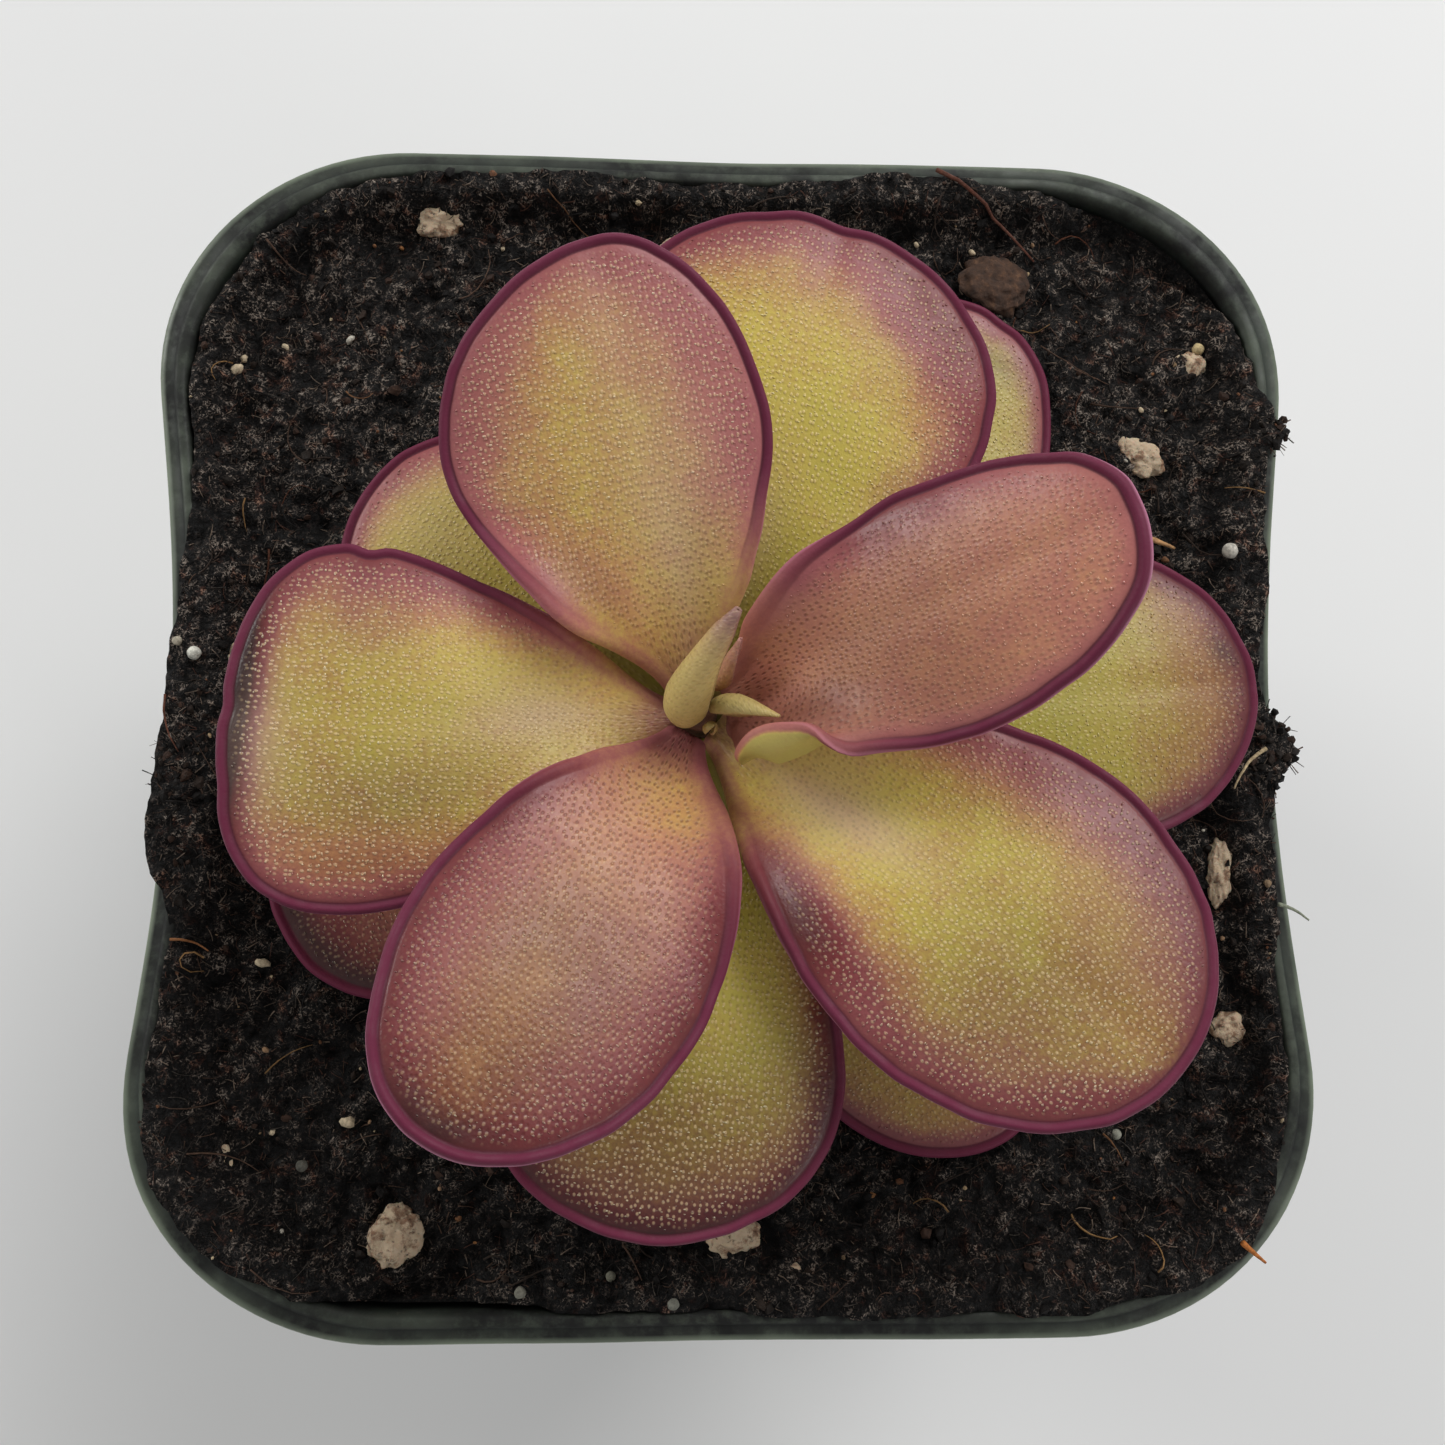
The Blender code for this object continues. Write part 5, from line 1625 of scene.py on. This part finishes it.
# Young leaves: small blades still rolled, with their two edges nearly meeting along one side. base,
# middle and end are places of the blade's path, past the top of the stem; radii and sweeps run along
# it, sweeps being how many degrees of the tube the blade covers; facing is where its slit looks to;
# flat flattens the tube; tones are ripe, flush and deep at the base and the tip; dim is as in LEAVES
YOUNG = [
    dict(name="rolled", base=(-0.75, -0.3, 0.0), middle=(-0.9, 0.4, 4.0), end=(1.8, 3.9, 8.4),
         radii=(1.05, 1.4, 1.45, 1.3, 1.1, 0.9, 0.7, 0.25), sweeps=(330, 325, 320, 320, 330),
         facing=(1.0, -0.3, 0.1), thick=0.42, flat=0.95, tones=((-0.05, 0.0, 0.1), (0.3, 1.2, 0.9)),
         dim=-0.16),
    dict(name="folded", base=(0.95, 1.25, 0.0), middle=(1.7, 1.5, 1.6), end=(2.2, 3.2, 3.9),
         radii=(0.42, 0.6, 0.6, 0.5, 0.15), sweeps=(250, 240, 240), facing=(0.5, 0.4, 0.8),
         thick=0.25, flat=0.9, tones=((0.6, 0.5, 0.1), (0.7, 0.9, 0.3)), dim=0.0),
    dict(name="pointed", base=(1.1, -0.2, 0.0), middle=(1.5, -0.3, 3.2), end=(4.3, -1.2, 4.4),
         radii=(0.5, 0.8, 0.95, 0.95, 0.75, 0.45, 0.12), sweeps=(250, 250, 240, 250),
         facing=(-0.2, -1.0, -0.3), thick=0.3, flat=0.85, tones=((0.0, 0.0, 0.0), (0.2, 0.1, 0.0)), dim=0.0),
    dict(name="bud", base=(0.55, -1.4, 0.0), middle=(0.6, -1.4, 0.8), end=(0.9, -1.3, 1.5),
         radii=(0.3, 0.42, 0.38, 0.1), sweeps=(300, 300), facing=(0.0, -1.0, 0.5), thick=0.15, flat=0.95,
         tones=((0.0, 0.0, 0.0), (0.1, 0.0, 0.0)), dim=0.0),
]
YOUNG_RINGS = 40
YOUNG_SIDES = 30


def bend_path(start, middle, end, count):
    start, middle, end = (np.array(p, float) for p in (start, middle, end))
    t = np.linspace(0, 1, count)[:, None]
    return (1 - t) ** 2 * start + 2 * t * (1 - t) * middle + t * t * end


def stretched(values):
    """A short row of values, read evenly over the rings of a young leaf."""
    return np.interp(np.linspace(0, 1, YOUNG_RINGS), np.linspace(0, 1, len(values)), values)


def young_values(leaf, reach, radius, turns):
    """What the colour of a young leaf is worked out from, ring by ring."""
    share = np.linspace(0, 1, YOUNG_RINGS)[:, None]
    edge = np.abs(np.linspace(-1, 1, YOUNG_SIDES))
    edge = np.r_[edge, edge]
    (ripe, flush, deep), (tip_ripe, tip_flush, tip_deep) = leaf["tones"]
    found = dict(ripe=ripe + (tip_ripe - ripe) * share,
                 flush=flush + (tip_flush - flush) * share ** 5 + 0.3 * smoothstep((edge - 0.9) / 0.1),
                 deep=deep + (tip_deep - deep) * share, along=reach * share,
                 aside=radius[:, None] * np.c_[turns, turns[:, ::-1]])
    values = dict.fromkeys(LEAF_KEYS, 0.0)
    values.update(pits=0.3, shine=0.3, pale=0.3, dim=leaf["dim"])
    values.update(found)
    return {key: (value + 0.0 * share + 0.0 * edge).ravel() for key, value in values.items()}


def make_young_leaf(leaf, look):
    foot = np.array((CROWN_X, CROWN_Y, CROWN_TOP + GAP))
    path = bend_path(foot + leaf["base"], foot + leaf["middle"], foot + leaf["end"], YOUNG_RINGS)
    radius = stretched(leaf["radii"])
    half_turn = np.radians(stretched(leaf["sweeps"])) / 2
    turns = np.linspace(math.pi - half_turn, math.pi + half_turn, YOUNG_SIDES, axis=1)
    rings = []
    for k, point in enumerate(path):
        ahead = path[min(k + 1, YOUNG_RINGS - 1)] - path[max(k - 1, 0)]
        ahead /= np.linalg.norm(ahead)
        front = np.array(leaf["facing"]) - ahead * (np.array(leaf["facing"]) @ ahead)
        front /= np.linalg.norm(front)
        side = np.cross(ahead, front)
        inner = max(radius[k] - leaf["thick"], radius[k] * 0.35)
        round_out = np.cos(turns[k])[:, None] * front * leaf["flat"] + np.sin(turns[k])[:, None] * side
        rings.append(np.r_[point + radius[k] * round_out, point + inner * round_out[::-1]])
    name = "young_leaf_" + leaf["name"]
    values = young_values(leaf, np.linalg.norm(path[-1] - path[0]), radius, turns)
    piece = mesh_piece(name + "_blade", *loft(rings), look, "young_leaf", values)
    face_outward(piece)
    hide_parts(name)


# Floor, light and camera

# Lamps: name, place, size, power, colour
LAMPS = [
    ("sky", (0.30, 0.42, 0.55), 0.45, 3.4, (1.0, 1.0, 1.0)),
    ("window", (-0.55, 0.30, 0.28), 0.25, 1.6, (1.0, 1.0, 0.98)),
    ("fill", (0.50, -0.40, 0.35), 0.2, 0.5, (1.0, 1.0, 1.0)),
]
# The room's light from below to above, as (place, colour)
ROOM_COLORS = [(0.0, (0.85, 0.86, 0.88)), (0.55, (0.9, 0.9, 0.9)), (1.0, (0.42, 0.42, 0.42))]
ROOM_LIGHT = 0.52


def make_stage():
    bpy.ops.mesh.primitive_circle_add(vertices=64, radius=3.0, fill_type="NGON")
    floor = bpy.context.object
    floor.name = "floor"
    look = Look("floor_paper", Roughness=0.9, Specular_IOR_Level=0.2)
    look.set(Base_Color=look.mix(look.noise(60.0), (0.80, 0.80, 0.80), (0.84, 0.84, 0.83)))
    floor.data.materials.append(look.material)


def make_light():
    """A pale room, darker overhead, and three soft lamps."""
    world = bpy.data.worlds.new("soft_room")
    bpy.context.scene.world = world
    world.use_nodes = True
    tree = world.node_tree
    background = tree.nodes["Background"]
    where = tree.nodes.new("ShaderNodeTexCoord")
    split = tree.nodes.new("ShaderNodeSeparateXYZ")
    ramp = tree.nodes.new("ShaderNodeValToRGB")
    tree.links.new(where.outputs["Generated"], split.inputs["Vector"])
    tree.links.new(split.outputs["Z"], ramp.inputs["Fac"])
    tree.links.new(ramp.outputs["Color"], background.inputs["Color"])
    stops = ramp.color_ramp.elements
    stops.new(0.55)
    for stop, (place, color) in zip(stops, ROOM_COLORS):
        stop.position, stop.color = place, (*color, 1.0)
    background.inputs["Strength"].default_value = ROOM_LIGHT
    for lamp in LAMPS:
        add_lamp(*lamp)


def add_lamp(name, place, size, power, color):
    data = bpy.data.lights.new(name, "AREA")
    data.size, data.energy, data.color = size, power, color
    lamp = bpy.data.objects.new(name, data)
    lamp.location = place
    aim = Vector((0.0, 0.0, RIM_HEIGHT * MM)) - Vector(place)
    lamp.rotation_euler = aim.to_track_quat("-Z", "Y").to_euler()
    bpy.context.collection.objects.link(lamp)


def make_camera():
    data = bpy.data.cameras.new("camera")
    data.sensor_width = SENSOR
    data.lens = SENSOR * FOCAL_PIXELS / PHOTO_WIDE
    data.clip_start = 0.005
    camera = bpy.data.objects.new("camera", data)
    camera.location = [v * MM for v in CAMERA_PLACE]
    camera.rotation_euler = [math.radians(a) for a in CAMERA_TURN]
    bpy.context.collection.objects.link(camera)
    bpy.context.scene.camera = camera


def main():
    bpy.context.scene.view_settings.view_transform = "Standard"
    make_camera()
    make_stage()
    make_light()
    skin, wet = leaf_look(), gland_look()
    sheets = []
    for order, leaf in enumerate(LEAVES):
        sheet = make_leaf(order, leaf, skin)
        make_glands(order, leaf, sheet, sheets, wet)
        sheets.append(sheet)
    for leaf in YOUNG:
        make_young_leaf(leaf, skin)
    make_crown()
    make_pot()
    peat, loose = soil_look(), crumb_look()
    make_soil(peat)
    ground = Ground()
    make_crumbs(ground, loose)
    make_fibres(ground, loose)
    make_trifles(ground, loose)
    make_spills(peat, loose)
    make_grains()


main()
